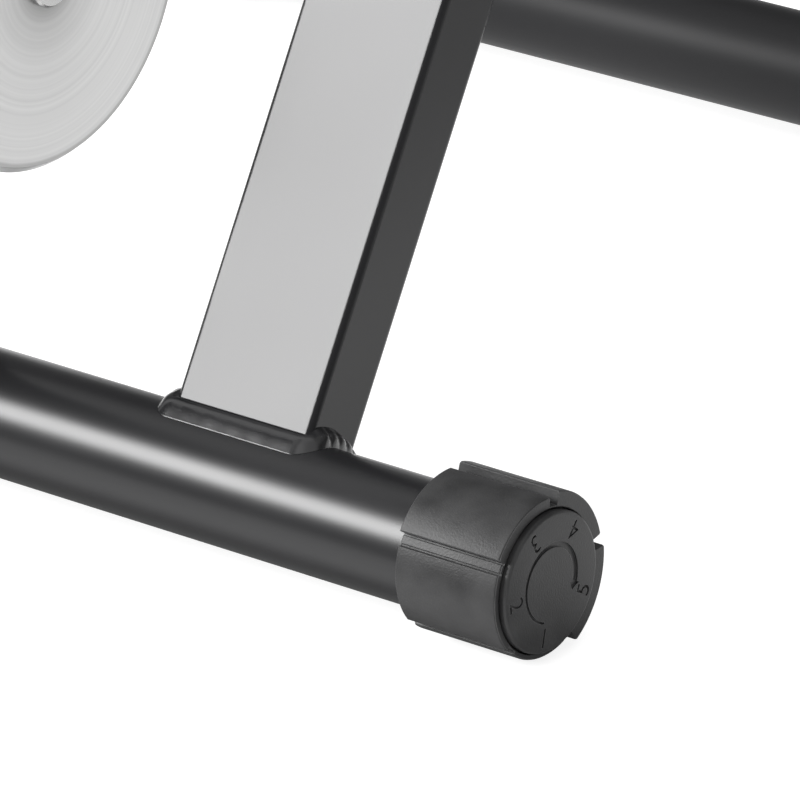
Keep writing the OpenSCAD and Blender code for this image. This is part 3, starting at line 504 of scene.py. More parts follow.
front_bar = axis_of("front_crossbar")
pivot = axis_of("hinge_bolts")
front_along = (pivot - front_bar).normalized()
front_across = Vector((0, front_along.z, -front_along.y))
mesh_piece("front_weld_beads", merged([
    weld_bead(front_bar, front_along, front_across, FRONT_LEG_WIDTH, front_bar, side) for side in (1, -1)
]), weld_paint, "front_frame", "front_leg_welds", sharp=60)

# ------------------------------------
# Levelling feet
# Moulded black rubber caps on the rear crossbar's ends. Each has five pads, every one a
# little thicker than the last, an inset end disc with the pads' numbers and a turn arrow.

PAD_RADII = [24.8, 25.3, 26.9, 28.2, 29.3]
PAD_TURN = 8.5
PAD_GROOVE = 3.8
PAD_WALL = 0.12
PAD_EDGE = 0.75
RIBBED_GROOVE = 1
CAP_CORE = 23.6
CAP_LENGTH = 41.0
CAP_BORE = 20.2
BORE_FLOOR = -5.2
DISC_RADIUS = 22.5
DISC_EDGE = 1.1
DIGIT_SIZE = 9.2
DIGIT_WIDTH = 0.9
DIGIT_HEIGHT = 6.4
DIGIT_CENTRES = (("1", 258, 17.4), ("2", 186, 17.2), ("3", 118, 17.0), ("4", 51.5, 17.4), ("5", 335, 17.2))
ENGRAVING_DEPTH = 0.75
ENGRAVING_REACH = 0.9
ARROW_TAIL, ARROW_HEAD, ARROW_STEPS = 254.0, -16.0, 90
ARROW_RADIUS = 13.0

# The rubber's pale edges are partly rubbed wear and partly a painted highlight along every edge
foot_rubber = finish_material("moulded_rubber", (0.008, 0.008, 0.0085), 0.44, rough_swing=0.18, grain_scale=1500.0,
                              blotch_scale=75.0, bump=0.5, bump_distance=0.00016, edge=0.00025, edge_wear_and_sheen=1.6,
                              edge_wear_and_sheen_colour=(0.16, 0.16, 0.162), light=(0.062, 0.062, 0.063), specular=0.36)


def around(x, radius, turn):
    """A point at a turn round the X axis."""
    return Vector((x, radius * math.cos(turn), radius * math.sin(turn)))


def along_x(profile, steps, place, side=1, unit=MM):
    """Rings round an axis along X through place, in mm: each profile row is x and a radius or a
    function of the turn that gives one."""
    rings = []
    for x, radius in profile:
        if not callable(radius) and radius <= 0:
            rings.append([place + Vector((side * x * unit, 0, 0))])
            continue
        turns = [2 * math.pi * step / steps for step in range(steps)]
        rings.append([place + around(side * x, radius(turn) if callable(radius) else radius, turn) * unit
                      for turn in turns])
    return rings


def rounded(x, radius, reach, from_turn, to_turn, steps=5):
    """Profile rows of a rounded edge about the point (x, radius)."""
    turns = [math.radians(from_turn + (to_turn - from_turn) * i / steps) for i in range(steps + 1)]
    return [(x + reach * math.cos(turn), radius + reach * math.sin(turn)) for turn in turns]


def cap_angles():
    """Angles round the cap with the outer radius at each, walls nearly square."""
    half = 36 - math.degrees(math.asin(PAD_GROOVE / 2 / CAP_CORE))
    inner = half - PAD_WALL - PAD_EDGE
    gap = 36 - half
    rows = []
    for n, radius in enumerate(PAD_RADII):
        middle = 270 - PAD_TURN - 72 * n
        rows += [(middle + half, CAP_CORE), (middle + half - PAD_WALL, radius - 0.35)]
        rows += [(middle + inner * (1 - i / 10), radius) for i in range(21)]
        rows += [(middle - half + PAD_WALL, radius - 0.35), (middle - half, CAP_CORE)]
        groove = [(gap * 0.4, CAP_CORE)]
        if n == RIBBED_GROOVE:
            groove = [(gap * 0.66 + 0.1, CAP_CORE), (gap * 0.66, CAP_CORE + 0.85), (gap * 0.66 - 0.35, CAP_CORE + 1)]
        rows += [(middle - 36 + angle, height) for angle, height in groove]
        rows += [(middle - 36 - angle, height) for angle, height in reversed(groove)]
    return rows


def cap_section(outer):
    """The cap's profile at one angle, from the bore's floor to the gutter round the disc."""
    low = max(outer - 0.4, CAP_CORE - 0.02)
    return [
        (BORE_FLOOR, 0.0), (BORE_FLOOR, CAP_BORE), (-CAP_LENGTH + 5, CAP_BORE), (-CAP_LENGTH + 0.5, CAP_BORE),
        (-CAP_LENGTH, 20.6), (-CAP_LENGTH, 23.1), (-CAP_LENGTH + 0.4, CAP_CORE - 0.05), (-CAP_LENGTH + 0.5, low),
        (-CAP_LENGTH + 0.9, outer), (-3.0, outer), (-2.6, outer - 0.12), (-2.4, low - 0.02),
        (-2.2, low - 0.05 if outer > CAP_CORE + 1.5 else low), (-2.2, 23.3), (-2.4, 23.0), (-5.2, 22.95),
        (-5.4, 22.6), (-5.4, 15.0), (-6.2, 14.0), (-6.2, 0.0),
    ]


def baked(holder):
    """A plain mesh of what an object shows; the object goes."""
    bpy.context.view_layer.update()
    mesh = bpy.data.meshes.new_from_object(holder.evaluated_get(bpy.context.evaluated_depsgraph_get()))
    bpy.data.objects.remove(holder)
    return mesh


def engraving():
    """Digits and the turn arrow as solids that stand through the disc's face."""
    cutters = []
    for digit, angle, radius in DIGIT_CENTRES:
        curve = bpy.data.curves.new("digit", "FONT")
        curve.body = digit
        curve.align_x = "CENTER"
        curve.size = DIGIT_SIZE
        curve.extrude = ENGRAVING_REACH
        curve.resolution_u = 6
        mesh = baked(new_object("digit", curve))
        turn = math.radians(angle)
        up = Vector((-math.cos(turn), -math.sin(turn)))
        across = Vector((up.y, -up.x))
        for v in mesh.vertices:
            flat = up * -radius + across * v.co.x * DIGIT_WIDTH + up * (v.co.y - DIGIT_HEIGHT / 2)
            v.co = Vector((v.co.z, flat.x, flat.y))
        cutters.append(mesh)
    shares = [i / ARROW_STEPS for i in range(ARROW_STEPS + 1)]
    outline = [(ARROW_RADIUS, ARROW_TAIL + (ARROW_HEAD - ARROW_TAIL) * share) for share in shares]
    outline += [(14.2, ARROW_HEAD), (11.6, ARROW_HEAD - 13), (9.2, ARROW_HEAD)]
    outline += [(ARROW_RADIUS - 0.7 - 1.7 * share, ARROW_TAIL + (ARROW_HEAD - ARROW_TAIL) * share)
                for share in reversed(shares)]
    cutters.append(raw_mesh("arrow", *arrow_solid(outline)))
    work = bmesh.new()
    for mesh in cutters:
        work.from_mesh(mesh)
        bpy.data.meshes.remove(mesh)
    bmesh.ops.remove_doubles(work, verts=work.verts, dist=1e-5)
    bmesh.ops.recalc_face_normals(work, faces=work.faces)
    for v in work.verts:
        v.co.x = v.co.x + ENGRAVING_REACH - ENGRAVING_DEPTH
    joined = bpy.data.meshes.new("engraving")
    work.to_mesh(joined)
    work.free()
    return joined


def arrow_solid(outline):
    """Points and faces of a flat outline (radius, angle) drawn out to both sides."""
    count = len(outline)
    points = [around(x, radius, math.radians(angle)) for x in (-ENGRAVING_REACH, ENGRAVING_REACH)
              for radius, angle in outline]
    faces = [tuple(range(count)), tuple(range(2 * count - 1, count - 1, -1))]
    return points, faces + [(i, (i + 1) % count, (i + 1) % count + count, i + count) for i in range(count)]


def carve(mesh, cutter_mesh):
    """The mesh less the cutter."""
    body, cutter = new_object("carved", mesh), new_object("cutter", cutter_mesh)
    cut = body.modifiers.new("cut", "BOOLEAN")
    cut.operation, cut.solver, cut.object = "DIFFERENCE", "EXACT", cutter
    result = baked(body)
    bpy.data.objects.remove(cutter)
    return result


disc_profile = [(-6.0, 0), (-6.0, 13.8), (-5.0, DISC_RADIUS - 0.3), (-2.2, DISC_RADIUS)]
disc_profile += rounded(-DISC_EDGE, DISC_RADIUS - DISC_EDGE, DISC_EDGE, 90, 0, 6) + [(0, 14), (0, 0)]
cap_columns = zip(*[[around(x, radius, math.radians(angle)) for x, radius in cap_section(outer)]
                    for angle, outer in cap_angles()])
cap_rings = [ring[:1] if ring[0].yz.length < 1e-6 else ring for ring in cap_columns]
for side, title in ((1, "right"), (-1, "left")):
    disc = raw_mesh("disc", *loft(along_x(disc_profile, 128, Vector((0, 0, 0)), unit=1)))
    work = bmesh.new()
    work.from_mesh(raw_mesh("shell", *loft(cap_rings)))
    bmesh.ops.remove_doubles(work, verts=work.verts, dist=1e-5)
    bmesh.ops.dissolve_degenerate(work, edges=work.edges, dist=1e-6)
    work.from_mesh(carve(disc, engraving()))
    for v in work.verts:
        v.co = Vector((side * (FOOT_FACE_X + v.co.x * MM), BAR.y + v.co.y * MM, BAR.z + v.co.z * MM))
    bmesh.ops.recalc_face_normals(work, faces=work.faces)
    mesh = bpy.data.meshes.new(f"levelling_cap_{title}")
    work.to_mesh(mesh)
    work.free()
    place_piece(mesh, f"levelling_cap_{title}", foot_rubber, f"foot_{title}",
                f"rear_foot_cap_{title}", sharp=32)

# ------------------------------------
# Front feet
# Plain moulded caps of the same rubber on the folding crossbar's ends. Each grips the tube
# with its bore and has shallow rings round it so that it doesn't slide on the floor.

RING_PLACES = (-33, -26, -19, -12)

front_cap_profile = [(-5, 0), (-5, 20), (-41, 20.0), (-41, 25.4)] + rounded(-40, 25.4, 1.0, 180, 90)
for ring_x in RING_PLACES:
    front_cap_profile += [(ring_x - 1.4, 26.4), (ring_x - 0.8, 25.5), (ring_x + 0.8, 25.5), (ring_x + 1.4, 26.4)]
front_cap_profile += rounded(-4, 25.2, 1.2, 90, 0) + [(-2.8, 22.0)] + rounded(-0.8, 21.2, 0.8, 90, 0)
front_cap_profile += [(0, 15.5), (-0.9, 14.6), (-0.9, 0)]
for side, title in ((1, "right"), (-1, "left")):
    cap_low, cap_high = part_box(f"front_foot_cap_{title}")
    place = Vector((cap_high.x if side > 0 else cap_low.x, front_bar.y, front_bar.z))
    mesh_piece(f"front_cap_{title}", loft(along_x(front_cap_profile, 96, place, side)), foot_rubber,
               "front_frame", f"front_foot_cap_{title}")

# ------------------------------------
# Fold hinges
# A zinc-plated hexagon bolt and nut clamp two ears on each rear leg. The front leg swings on
# a steel bush between two white nylon washers.

HEX_STEPS = 48
HEX_ACROSS = 16
HEAD_HEIGHT = 6
NUT_HEIGHT = 8
BOLT_RADIUS = 5
BOLT_PITCH = 1.5
NUT_BORE = 5.05

zinc_plate = finish_material("zinc_plate", (0.50, 0.51, 0.53), 0.34, metallic=1.0, light=(0.60, 0.60, 0.61),
                             rough_swing=0.10, grain_scale=1400.0, blotch_scale=90.0, bump=0.08, edge=0.0004,
                             edge_wear_and_sheen=0.8, edge_wear_and_sheen_colour=(0.75, 0.75, 0.76))
moulded_nylon = finish_material("moulded_nylon", (0.66, 0.65, 0.61), 0.46, light=(0.74, 0.73, 0.69),
                                rough_swing=0.08, grain_scale=1200.0, edge=0.0003, edge_wear_and_sheen=0.0)


def hexagon(turn):
    """Radius of the hexagon, corner up, at a turn round it."""
    return HEX_ACROSS / 2 / math.cos((turn + math.pi / 6) % (math.pi / 3) - math.pi / 6)


def hexagon_faces(x, out):
    """Rows of the hexagon's chamfered end that faces along out (+1 or -1)."""
    crown = HEX_ACROSS / 2 * 0.96
    drop = (HEX_ACROSS / 2 / math.cos(math.pi / 6) - crown) * 0.5
    return [(x, crown), (x - out * drop, hexagon)]


def thread(start, end, radius, pitch, depth):
    """Rows of a screw thread: the crest winds once round for every pitch along."""
    rows = []
    steps = int((end - start) / pitch * 6)
    for i in range(steps + 1):
        x = start + (end - start) * i / steps
        fade = min(1, (x - start) / pitch, (end - x) / pitch)

        def size(turn, x=x, fade=fade):
            share = (x / pitch - turn / (2 * math.pi)) % 1
            return radius - depth * fade * min(1, 2.6 * abs(share - 0.5))
        rows.append((x, size))
    return rows


def hexagon_bolt(length):
    """Rows of a bolt whose head lies at x = 0 to its height and whose shank runs to -length."""
    threaded = min(length * 0.35, 20)
    rows = [(HEAD_HEIGHT, 0)] + hexagon_faces(HEAD_HEIGHT, 1) + [(0, hexagon), (0, BOLT_RADIUS)]
    rows += reversed(thread(-length + 1, -length + 1 + threaded, BOLT_RADIUS, BOLT_PITCH, BOLT_PITCH * 0.45))
    return rows + [(-length, BOLT_RADIUS - 1), (-length, 0)]


nut_rows = [(0, NUT_BORE)] + hexagon_faces(0, -1) + hexagon_faces(NUT_HEIGHT, 1)[::-1]
nut_rows += [(NUT_HEIGHT, NUT_BORE + 0.6), (NUT_HEIGHT - 0.6, NUT_BORE)]


def fasteners(rows, places, closed=False):
    """Bolts or nuts at places given as (side, x, y, z)."""
    return merged([loft(along_x(rows, HEX_STEPS, Vector(at), side), closed) for side, *at in places])


ear_low, ear_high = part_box("hinge_ears_right")
hinge_bolt_rows = hexagon_bolt((ear_high.x - ear_low.x) / MM + 10)
nut_x = ear_low.x - NUT_HEIGHT * MM
mesh_piece("fold_bolts", fasteners(hinge_bolt_rows, [(s, s * ear_high.x, pivot.y, pivot.z) for s in (1, -1)]),
           zinc_plate, "root", "hinge_bolts", sharp=30)
mesh_piece("fold_nuts", fasteners(nut_rows, [(s, s * nut_x, pivot.y, pivot.z) for s in (1, -1)], closed=True),
           zinc_plate, "root", "hinge_nuts", sharp=30)
dress(moulded_nylon, "hinge_washers", "plunger_bush")

# ------------------------------------
# Adjustable axle clamp, right side
# A turned steel cup takes the skewer's nut. A coarse screw moves it in or out, turned by a
# moulded knob and held by a notched lock ring.

AXLE = axis_of("axle_cup_right")

# Turning marks: fine rings round the part's own axis, as a height, a tone and the radius
turning, turning_in, turning_out = new_tree(
    "turning_marks", "ShaderNodeTree",
    {"Centre": "Vector", "Rings": "Float", "Broad Rings": "Float"},
    {"Height": "Float", "Tone": "Float", "Radius": "Float"},
)
turning_place = node(turning, "ShaderNodeVectorMath", {
    0: node(turning, "ShaderNodeTexCoord").outputs["Object"], 1: turning_in["Centre"],
}, operation="SUBTRACT").outputs[0]
turning_split = node(turning, "ShaderNodeSeparateXYZ", {0: turning_place}).outputs
turning_radius = calc(turning, "SQRT", calc(turning, "ADD", calc(turning, "POWER", turning_split["Y"], 2.0),
                                            calc(turning, "POWER", turning_split["Z"], 2.0)))
turning_line = node(turning, "ShaderNodeCombineXYZ", {"X": turning_radius, "Y": turning_split["X"]}).outputs[0]
feed(turning, noise(turning, turning_line, turning_in["Rings"], 3.0), turning_out["Height"])
feed(turning, noise(turning, turning_line, turning_in["Broad Rings"], 4.0), turning_out["Tone"])
feed(turning, turning_radius, turning_out["Radius"])


def turned_metal(name, centre, dark, bright, roughness, anisotropy=0.5, rings=1400.0, broad=160.0, bump=0.2,
                 edge=0.0004, painted_shade=None):
    """Lathe-turned metal whose marks run round an axis along X; painted_shade, when given, is painted shade that
    darkens it by radius.
    """
    material, tree, shader = principled(name)
    marks = node(tree, "ShaderNodeGroup", {"Centre": tuple(centre), "Rings": rings, "Broad Rings": broad},
                 node_tree=turning).outputs
    rolled = node(tree, "ShaderNodeGroup", {"Radius": edge, "Edge Wear And Sheen": 0.6}, node_tree=edges).outputs
    tone = mixed(tree, marks["Tone"], (*dark, 1), (*bright, 1))
    # Painted shade: a grey ramp by radius, multiplied into the turned metal's colour
    if painted_shade:
        painted_shade = ramp(tree, calc(tree, "MULTIPLY", marks["Radius"], 10.0), painted_shade)
        tone = mixed(tree, 1.0, tone, painted_shade, "MULTIPLY")
    shader["Metallic"].default_value = 1.0
    shader["Anisotropic"].default_value = anisotropy
    feed(tree, node(tree, "ShaderNodeTangent", direction_type="RADIAL", axis="X").outputs[0], shader["Tangent"])
    feed(tree, tone, shader["Base Color"])
    feed(tree, span(tree, marks["Tone"], (0.0, 1.0), (roughness + 0.06, roughness - 0.06)), shader["Roughness"])
    feed(tree, relief(tree, marks["Height"], rolled["Normal"], bump, 0.00003), shader["Normal"])
    return material


turned_clamp = turned_metal("turned_clamp_steel", AXLE, (0.50, 0.50, 0.50), (0.68, 0.68, 0.67), 0.28)
turned_hinge = turned_metal("turned_hinge_bush", pivot, (0.48, 0.48, 0.48), (0.62, 0.62, 0.61), 0.32)
knob_plastic = finish_material("moulded_knob", (0.016, 0.016, 0.017), 0.42, light=(0.022, 0.022, 0.023),
                               rough_swing=0.07, grain_scale=1800.0, blotch_scale=50.0, bump=0.22,
                               bump_distance=0.00008, edge=0.0006, edge_wear_and_sheen_colour=(0.05, 0.05, 0.05))
dress(turned_hinge, "hinge_bushes")
dress(turned_clamp, "axle_cup_right", "axle_cup_left", "clamp_plunger", "spindle_bush")
dress(zinc_plate, "lock_ring")

screw_low, screw_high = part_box("adjuster_screw")
screw_start, screw_end = screw_low.x / MM, screw_high.x / MM
screw_rows = [(screw_start, 0), (screw_start, 6), (screw_start + 5.3, 6), (screw_start + 5.3, 9),
              (screw_start + 6.3, 10)]
screw_rows += thread(screw_start + 7, screw_end - 1, 10, 2.5, 1.1) + [(screw_end, 9), (screw_end, 0)]
mesh_piece("adjuster_thread", loft(along_x(screw_rows, 64, AXLE)), turned_clamp, "adjuster",
           "adjuster_screw", sharp=40)


def fluted_rows(radius, length, flutes, flute_depth, bore):
    """Rows of a hand knob from the bore at x = 0: flutes along it and a rounded rim."""
    def body(inset):
        def size(turn):
            wave = 0.5 + 0.5 * math.cos(turn * flutes)
            return radius - inset - flute_depth * (wave ** 1.6) * (1 if inset < 4 else max(0, 1 - (inset - 4) / 3))
        return size
    rim = 2.2
    rows = [(0, bore), (0, body(rim + 0.4)), (0.7, body(0.9)), (1.8, body(0.2)), (3, body(0)),
            (length - rim - 0.4, body(0))]
    for i in range(1, 6):
        turn = math.pi / 2 * i / 5
        rows.append((length - rim + rim * math.sin(turn), body(rim - rim * math.cos(turn))))
    return rows + [(length, body(4.2))]


knob_rows = [(17.9, 0), (17.9, 10.02)] + fluted_rows(27, 24, 7, 4.6, 10.02) + [(22.4, 16.74), (22.4, 0)]
knob_place = Vector((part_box("adjuster_knob")[0].x, AXLE.y, AXLE.z))
mesh_piece("adjusting_hand_knob", loft(along_x(knob_rows, 140, knob_place)), knob_plastic, "adjuster",
           "adjuster_knob", sharp=32)

# ------------------------------------
# Quick clamp, left side
# A plunger with the slotted cup slides in a nylon bush against a coil spring. A plated steel
# cam lever, turning on a pin through the welded housing, pushes it in; its grip is dipped.

GRIP_LENGTH = 72.0
GRIP_RIBS = 7
GRIP_STEPS = 70
ARM_BEND = Vector((-5, 0, -58.5))
ARM_TIP = Vector((-20, 0, -130))

spring_wire = finish_material("spring_wire", (0.34, 0.34, 0.35), 0.33, metallic=1.0, light=(0.46, 0.46, 0.47),
                              rough_swing=0.08, grain_scale=1800.0, blotch_scale=200.0, bump=0.1, edge=0.0002, edge_wear_and_sheen=0.3)
grip_rubber = finish_material("dipped_grip", (0.021, 0.021, 0.022), 0.50, light=(0.032, 0.032, 0.033),
                              rough_swing=0.12, blotch_scale=60.0, bump=0.3, edge=0.0006, edge_wear_and_sheen=0.3)
dress(spring_wire, "clamp_spring", "tension_spring")
dress(zinc_plate, "lever_pin", "clamp_lever")
pin_low, pin_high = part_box("lever_pin")
lever_pin = Vector(((pin_low.x + pin_high.x) / 2, AXLE.y, AXLE.z))
arm_down = (ARM_TIP - ARM_BEND).normalized()
arm_out = Vector((arm_down.z, 0, -arm_down.x))
grip_start = ARM_TIP - arm_down * (GRIP_LENGTH - 2.5)


def grip_ring(origin, along, width, thickness):
    """A ring of a rounded rectangle across the lever's arm; without a width, its middle point."""
    place = origin + arm_down * along
    if not width:
        return [lever_pin + place * MM]
    ring = []
    for step in range(40):
        turn = 2 * math.pi * step / 40
        across, out = (size / 2 * math.copysign(abs(part) ** 0.45, part)
                       for size, part in ((width, math.cos(turn)), (thickness, math.sin(turn))))
        ring.append(lever_pin + (place + Vector((0, across, 0)) + arm_out * out) * MM)
    return ring


grip_rings = [grip_ring(ARM_TIP, 3.9, 0, 0), grip_ring(ARM_TIP, 3.9, 14.9, 7.9),
              grip_ring(grip_start, -3.8, 15.1, 8.1), grip_ring(grip_start, -3.9, 17.6, 10.4)]
for i in range(GRIP_STEPS + 1):
    share = i / GRIP_STEPS
    swell = 0.35 * math.cos(2 * math.pi * GRIP_RIBS * share) if 0.08 < share < 0.95 else 0.35
    grip_rings.append(grip_ring(grip_start, (GRIP_LENGTH - 2.5) * share - 3.2, 19.4 + swell, 12.3 + swell))
for i in range(1, 7):
    turn = math.pi / 2 * i / 7
    grip_rings.append(grip_ring(ARM_TIP, -3.2 + 9.2 * math.sin(turn), 4 + 15.6 * math.cos(turn) ** 0.6,
                                2 + 10.5 * math.cos(turn) ** 0.8))
grip_rings.append(grip_ring(ARM_TIP, 6.2, 0, 0))
mesh_piece("lever_dipped_grip", loft(grip_rings), grip_rubber, "lever", "lever_grip", sharp=40)

# ------------------------------------
# Pivot and tyre pressure screw of the resistance unit
# The unit swings on one plated bolt between two plates on the rear crossbar. A long screw with
# a spring, a washer and a hand knob pulls the roller against the tyre.

swing_low, swing_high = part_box("swing_pivot_bolt")
swing = axis_of("swing_pivot_bolt")
swing_bolt_rows = hexagon_bolt((swing_high.x - swing_low.x) / MM - HEAD_HEIGHT)
mesh_piece("unit_pivot_bolt", fasteners(swing_bolt_rows, [(1, swing_high.x - HEAD_HEIGHT * MM, swing.y, swing.z)]),
           zinc_plate, "root", "swing_pivot_bolt", sharp=30)
mesh_piece("unit_pivot_nut", fasteners(nut_rows, [(-1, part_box("swing_pivot_nut")[1].x, swing.y, swing.z)], closed=True),
           zinc_plate, "root", "swing_pivot_nut", sharp=30)
dress(zinc_plate, "tension_washer")


def turned_back(rows, steps, y, closed=False):
    """Points and faces of rows drawn along +X, set along -Y on the pressure screw's axis."""
    rings = along_x(rows, steps, Vector((0, 0, 0)))
    return loft([[Vector((p.y, y - p.x, tension.z + p.z)) for p in ring] for ring in rings], closed)


tension_low, tension_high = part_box("tension_screw")
tension = axis_of("tension_screw")
tension_length = (tension_high.y - tension_low.y) / MM
tension_rows = [(0, 0), (0, 3), (1, 4)] + thread(16, tension_length - 1, 4, 1.25, 0.6)
tension_rows += [(tension_length, 3), (tension_length, 0)]
mesh_piece("tension_thread", turned_back(tension_rows, 36, tension_high.y), zinc_plate, "root",
           "tension_screw", sharp=40)
knob_rows = fluted_rows(18, 22, 6, 3.2, 4.08) + [(20.6, 9.0), (20.6, 4.08)]
mesh_piece("tension_hand_knob", turned_back(knob_rows, 120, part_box("tension_knob")[1].y, closed=True), knob_plastic,
           "tension_hand", "tension_knob", sharp=32)

# ------------------------------------
# Roller, shaft and flywheel
# Everything on the shaft is turned from steel: the roller, the shaft with its socket head and
# the flywheel, faced on a lathe so that fine rings and a fan of light run round its face.

SEAL_RADII = (0.0086, 0.0114)

shaft = axis_of("roller")
# The flywheel's painted shade: darker towards the hub, with a darker ring near the rim
flywheel_steel = turned_metal("faced_flywheel_steel", shaft, (0.62, 0.62, 0.62), (0.86, 0.86, 0.855), 0.38,
                              anisotropy=0.55, rings=1700.0, broad=700.0, bump=0.8, edge=0.0005,
                              painted_shade=((0.10, 0.55), (0.15, 0.80), (0.28, 0.98), (0.50, 1.0), (0.566, 1.0),
                                     (0.576, 0.60), (0.588, 0.95)))
roller_steel = turned_metal("turned_roller_steel", shaft, (0.52, 0.52, 0.52), (0.70, 0.70, 0.69), 0.26,
                            anisotropy=0.6, rings=1200.0, broad=300.0)
dress(flywheel_steel, "flywheel")
dress(roller_steel, "roller", "roller_shaft")

# The bearings' steel rings, with black rubber seals between them
bearing_steel, seal_tree, seal_shader = principled("sealed_bearing")
seal_radius = node(seal_tree, "ShaderNodeGroup", {"Centre": tuple(shaft)}, node_tree=turning).outputs["Radius"]
seal_mask = calc(seal_tree, "MULTIPLY", calc(seal_tree, "GREATER_THAN", seal_radius, SEAL_RADII[0]),
                 calc(seal_tree, "LESS_THAN", seal_radius, SEAL_RADII[1]))
feed(seal_tree, mixed(seal_tree, seal_mask, (0.62, 0.62, 0.62, 1), (0.02, 0.02, 0.021, 1)), seal_shader["Base Color"])
feed(seal_tree, calc(seal_tree, "SUBTRACT", 1.0, seal_mask), seal_shader["Metallic"])
feed(seal_tree, span(seal_tree, seal_mask, (0.0, 1.0), (0.22, 0.55)), seal_shader["Roughness"])
dress(bearing_steel, "bearing_left", "bearing_right")

# ------------------------------------
# Fluid brake
# A finned can cast in aluminium and blasted, closed by a cover on socket screws. The impeller
# turns in it on the roller's shaft, behind a rubber seal.

COVER_SCREWS = 6
COVER_CIRCLE = 50 * MM
COVER_HEAD = 3.2 * MM
HOUSING_CIRCLE = 27 * MM
HOUSING_HEAD = 3.5 * MM
HOUSING_ANGLE = math.radians(80)

cast_alloy = finish_material("blasted_casting", (0.30, 0.305, 0.31), 0.50, metallic=1.0, light=(0.40, 0.405, 0.41),
                             rough_swing=0.10, grain_scale=1100.0, blotch_scale=45.0, bump=0.45, bump_distance=0.00012,
                             edge=0.0006, edge_wear_and_sheen=0.9, edge_wear_and_sheen_colour=(0.62, 0.62, 0.63))
dress(cast_alloy, "fluid_housing", "fluid_cover", "impeller")
dress(foot_rubber, "shaft_seal")

# A socket screw with its head outward along -X, set on each point of the mesh that it grows on
screws, screw_in, screw_out = new_tree(
    "socket_screws", "GeometryNodeTree",
    {"Geometry": "Geometry", "Head Radius": "Float", "Head Height": "Float", "Shank Radius": "Float",
     "Shank Length": "Float", "Socket Radius": "Float", "Material": "Material"},
    {"Geometry": "Geometry"},
)


def barrel(radius, length, sides, base, crown=None):
    """A closed cylinder or cone along Z from the height base, each size a socket or a number."""
    cone = node(screws, "GeometryNodeMeshCone", {
        "Vertices": sides, "Radius Bottom": radius, "Radius Top": crown or radius, "Depth": length,
    }).outputs["Mesh"]
    lift = node(screws, "ShaderNodeCombineXYZ", {"Z": base}).outputs[0]
    return node(screws, "GeometryNodeTransform", {"Geometry": cone, "Translation": lift}).outputs["Geometry"]


def part_of(size, share):
    """A share of one of the screw's sizes."""
    return calc(screws, "MULTIPLY", screw_in[size], share)


def screw_step(kind, inputs, **settings):
    """The first output of a node of the screw's tree."""
    return node(screws, kind, inputs, **settings).outputs[0]


lower_height = part_of("Head Height", 0.85)
solids = (
    barrel(screw_in["Head Radius"], lower_height, 40, 0.0),
    barrel(screw_in["Head Radius"], part_of("Head Height", 0.15), 40, lower_height, part_of("Head Radius", 0.9)),
    barrel(screw_in["Shank Radius"], calc(screws, "ADD", screw_in["Shank Length"], 0.0002), 32,
           part_of("Shank Length", -1.0)),
)
whole = node(screws, "GeometryNodeMeshBoolean", operation="UNION", solver="EXACT")
for solid in solids:
    feed(screws, solid, whole.inputs["Mesh 2"])
socket_hole = barrel(screw_in["Socket Radius"], screw_in["Head Height"], 6, part_of("Head Height", 0.4))
drilled = screw_step("GeometryNodeMeshBoolean", {"Mesh 1": whole.outputs["Mesh"], "Mesh 2": socket_hole},
                     operation="DIFFERENCE", solver="EXACT")
placed = screw_step("GeometryNodeInstanceOnPoints", {
    "Points": screw_in["Geometry"], "Instance": drilled, "Rotation": (0, -math.pi / 2, 0),
})
real = screw_step("GeometryNodeRealizeInstances", {"Geometry": placed})
coloured = screw_step("GeometryNodeSetMaterial", {"Geometry": real, "Material": screw_in["Material"]})
feed(screws, coloured, screw_out["Geometry"])


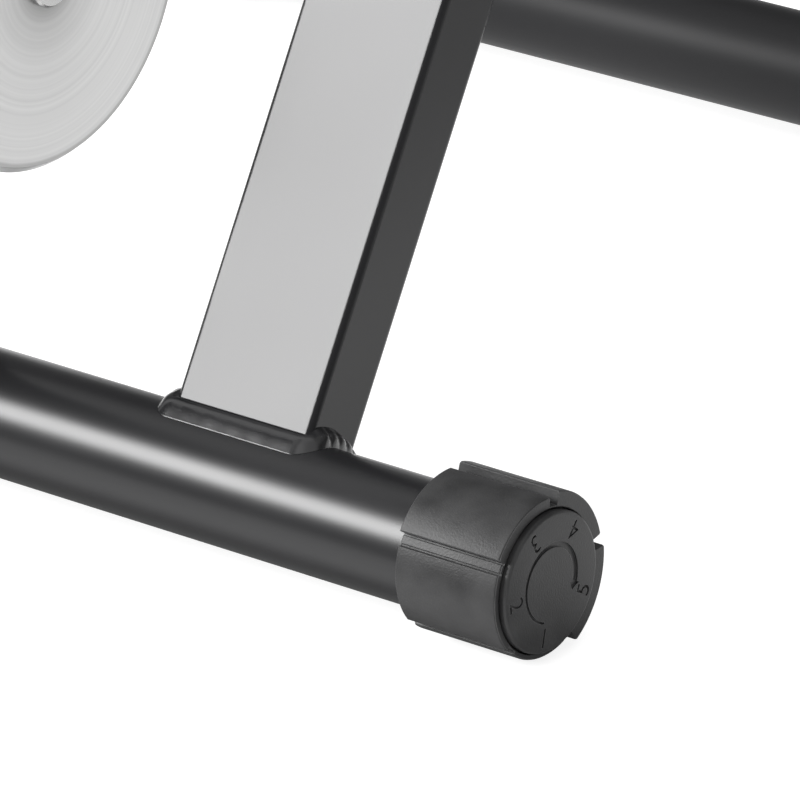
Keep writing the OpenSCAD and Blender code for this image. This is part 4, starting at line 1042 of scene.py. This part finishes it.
def grown_screws(name, replaced, x, out, circle, turns, sizes):
    """Socket screws at turns round the shaft, heads along out (+1 or -1), by the tree's own sizes in mm."""
    seeds = [(x, shaft.y + circle * math.cos(turn), shaft.z + circle * math.sin(turn)) for turn in turns]
    holder = new_object(name, raw_mesh(name, seeds, []))
    made = holder.modifiers.new("grown", "NODES")
    made.node_group = screws
    titles = {item.name: item.identifier for item in screws.interface.items_tree if item.in_out == "INPUT"}
    for title, size in sizes.items():
        made[titles[title]] = size * MM
    made[titles["Material"]] = zinc_plate
    mesh = baked(holder)
    if out > 0:
        for vertex in mesh.vertices:
            vertex.co.x = 2 * x - vertex.co.x
        mesh.flip_normals()
    place_piece(mesh, name, zinc_plate, "resistance_unit", replaced, sharp=30)


grown_screws("cover_socket_screws", "cover_screws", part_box("cover_screws")[0].x + COVER_HEAD, -1, COVER_CIRCLE,
             [2 * math.pi * k / COVER_SCREWS for k in range(COVER_SCREWS)],
             {"Head Radius": 3.4, "Head Height": COVER_HEAD / MM, "Shank Radius": 2, "Shank Length": 15,
              "Socket Radius": 1.6})
housing_low, housing_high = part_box("housing_screws")
housing_x = housing_high.x - HOUSING_HEAD
unit_turn = math.atan2(shaft.z - swing.z, shaft.y - swing.y)
grown_screws("housing_socket_screws", "housing_screws", housing_x, 1, HOUSING_CIRCLE,
             [unit_turn + HOUSING_ANGLE * k for k in (-1, 0, 1)],
             {"Head Radius": 4.2, "Head Height": HOUSING_HEAD / MM, "Shank Radius": 2.5,
              "Shank Length": (housing_x - housing_low.x) / MM, "Socket Radius": 2})

# ------------------------------------
# Light on the rear tubes
# A twin of the soft box lights the rear legs, their welds and the rear crossbar past the resistance
# unit, whose reflection would blot them. The first one lights all the rest, with every shadow.


def light_group(name, titles, state):
    """A collection that a lamp lights, or is blocked by, or leaves out."""
    group = bpy.data.collections.new(name)
    for title in titles:
        group.objects.link(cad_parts.get(title) or bpy.data.objects[title])
    for member in group.collection_objects:
        member.light_linking.link_state = state
    return group


tubes = ("rear_crossbar", "rear_leg_left", "rear_leg_right", "rear_weld_bead_left", "rear_weld_bead_right")
unit = ("base_bracket", "swing_bracket", "bearing_left", "bearing_right", "roller", "roller_shaft", "flywheel",
        "fluid_housing", "fluid_cover", "unit_pivot_bolt", "unit_pivot_nut", "tension_thread", "tension_spring",
        "tension_hand_knob")
twin = soft_box("soft_box_twin")
key.light_linking.receiver_collection = light_group("not_by_the_first", tubes, "EXCLUDE")
twin.light_linking.receiver_collection = light_group("only_by_the_twin", tubes, "INCLUDE")
twin.light_linking.blocker_collection = light_group("passed_by_the_twin", unit, "EXCLUDE")
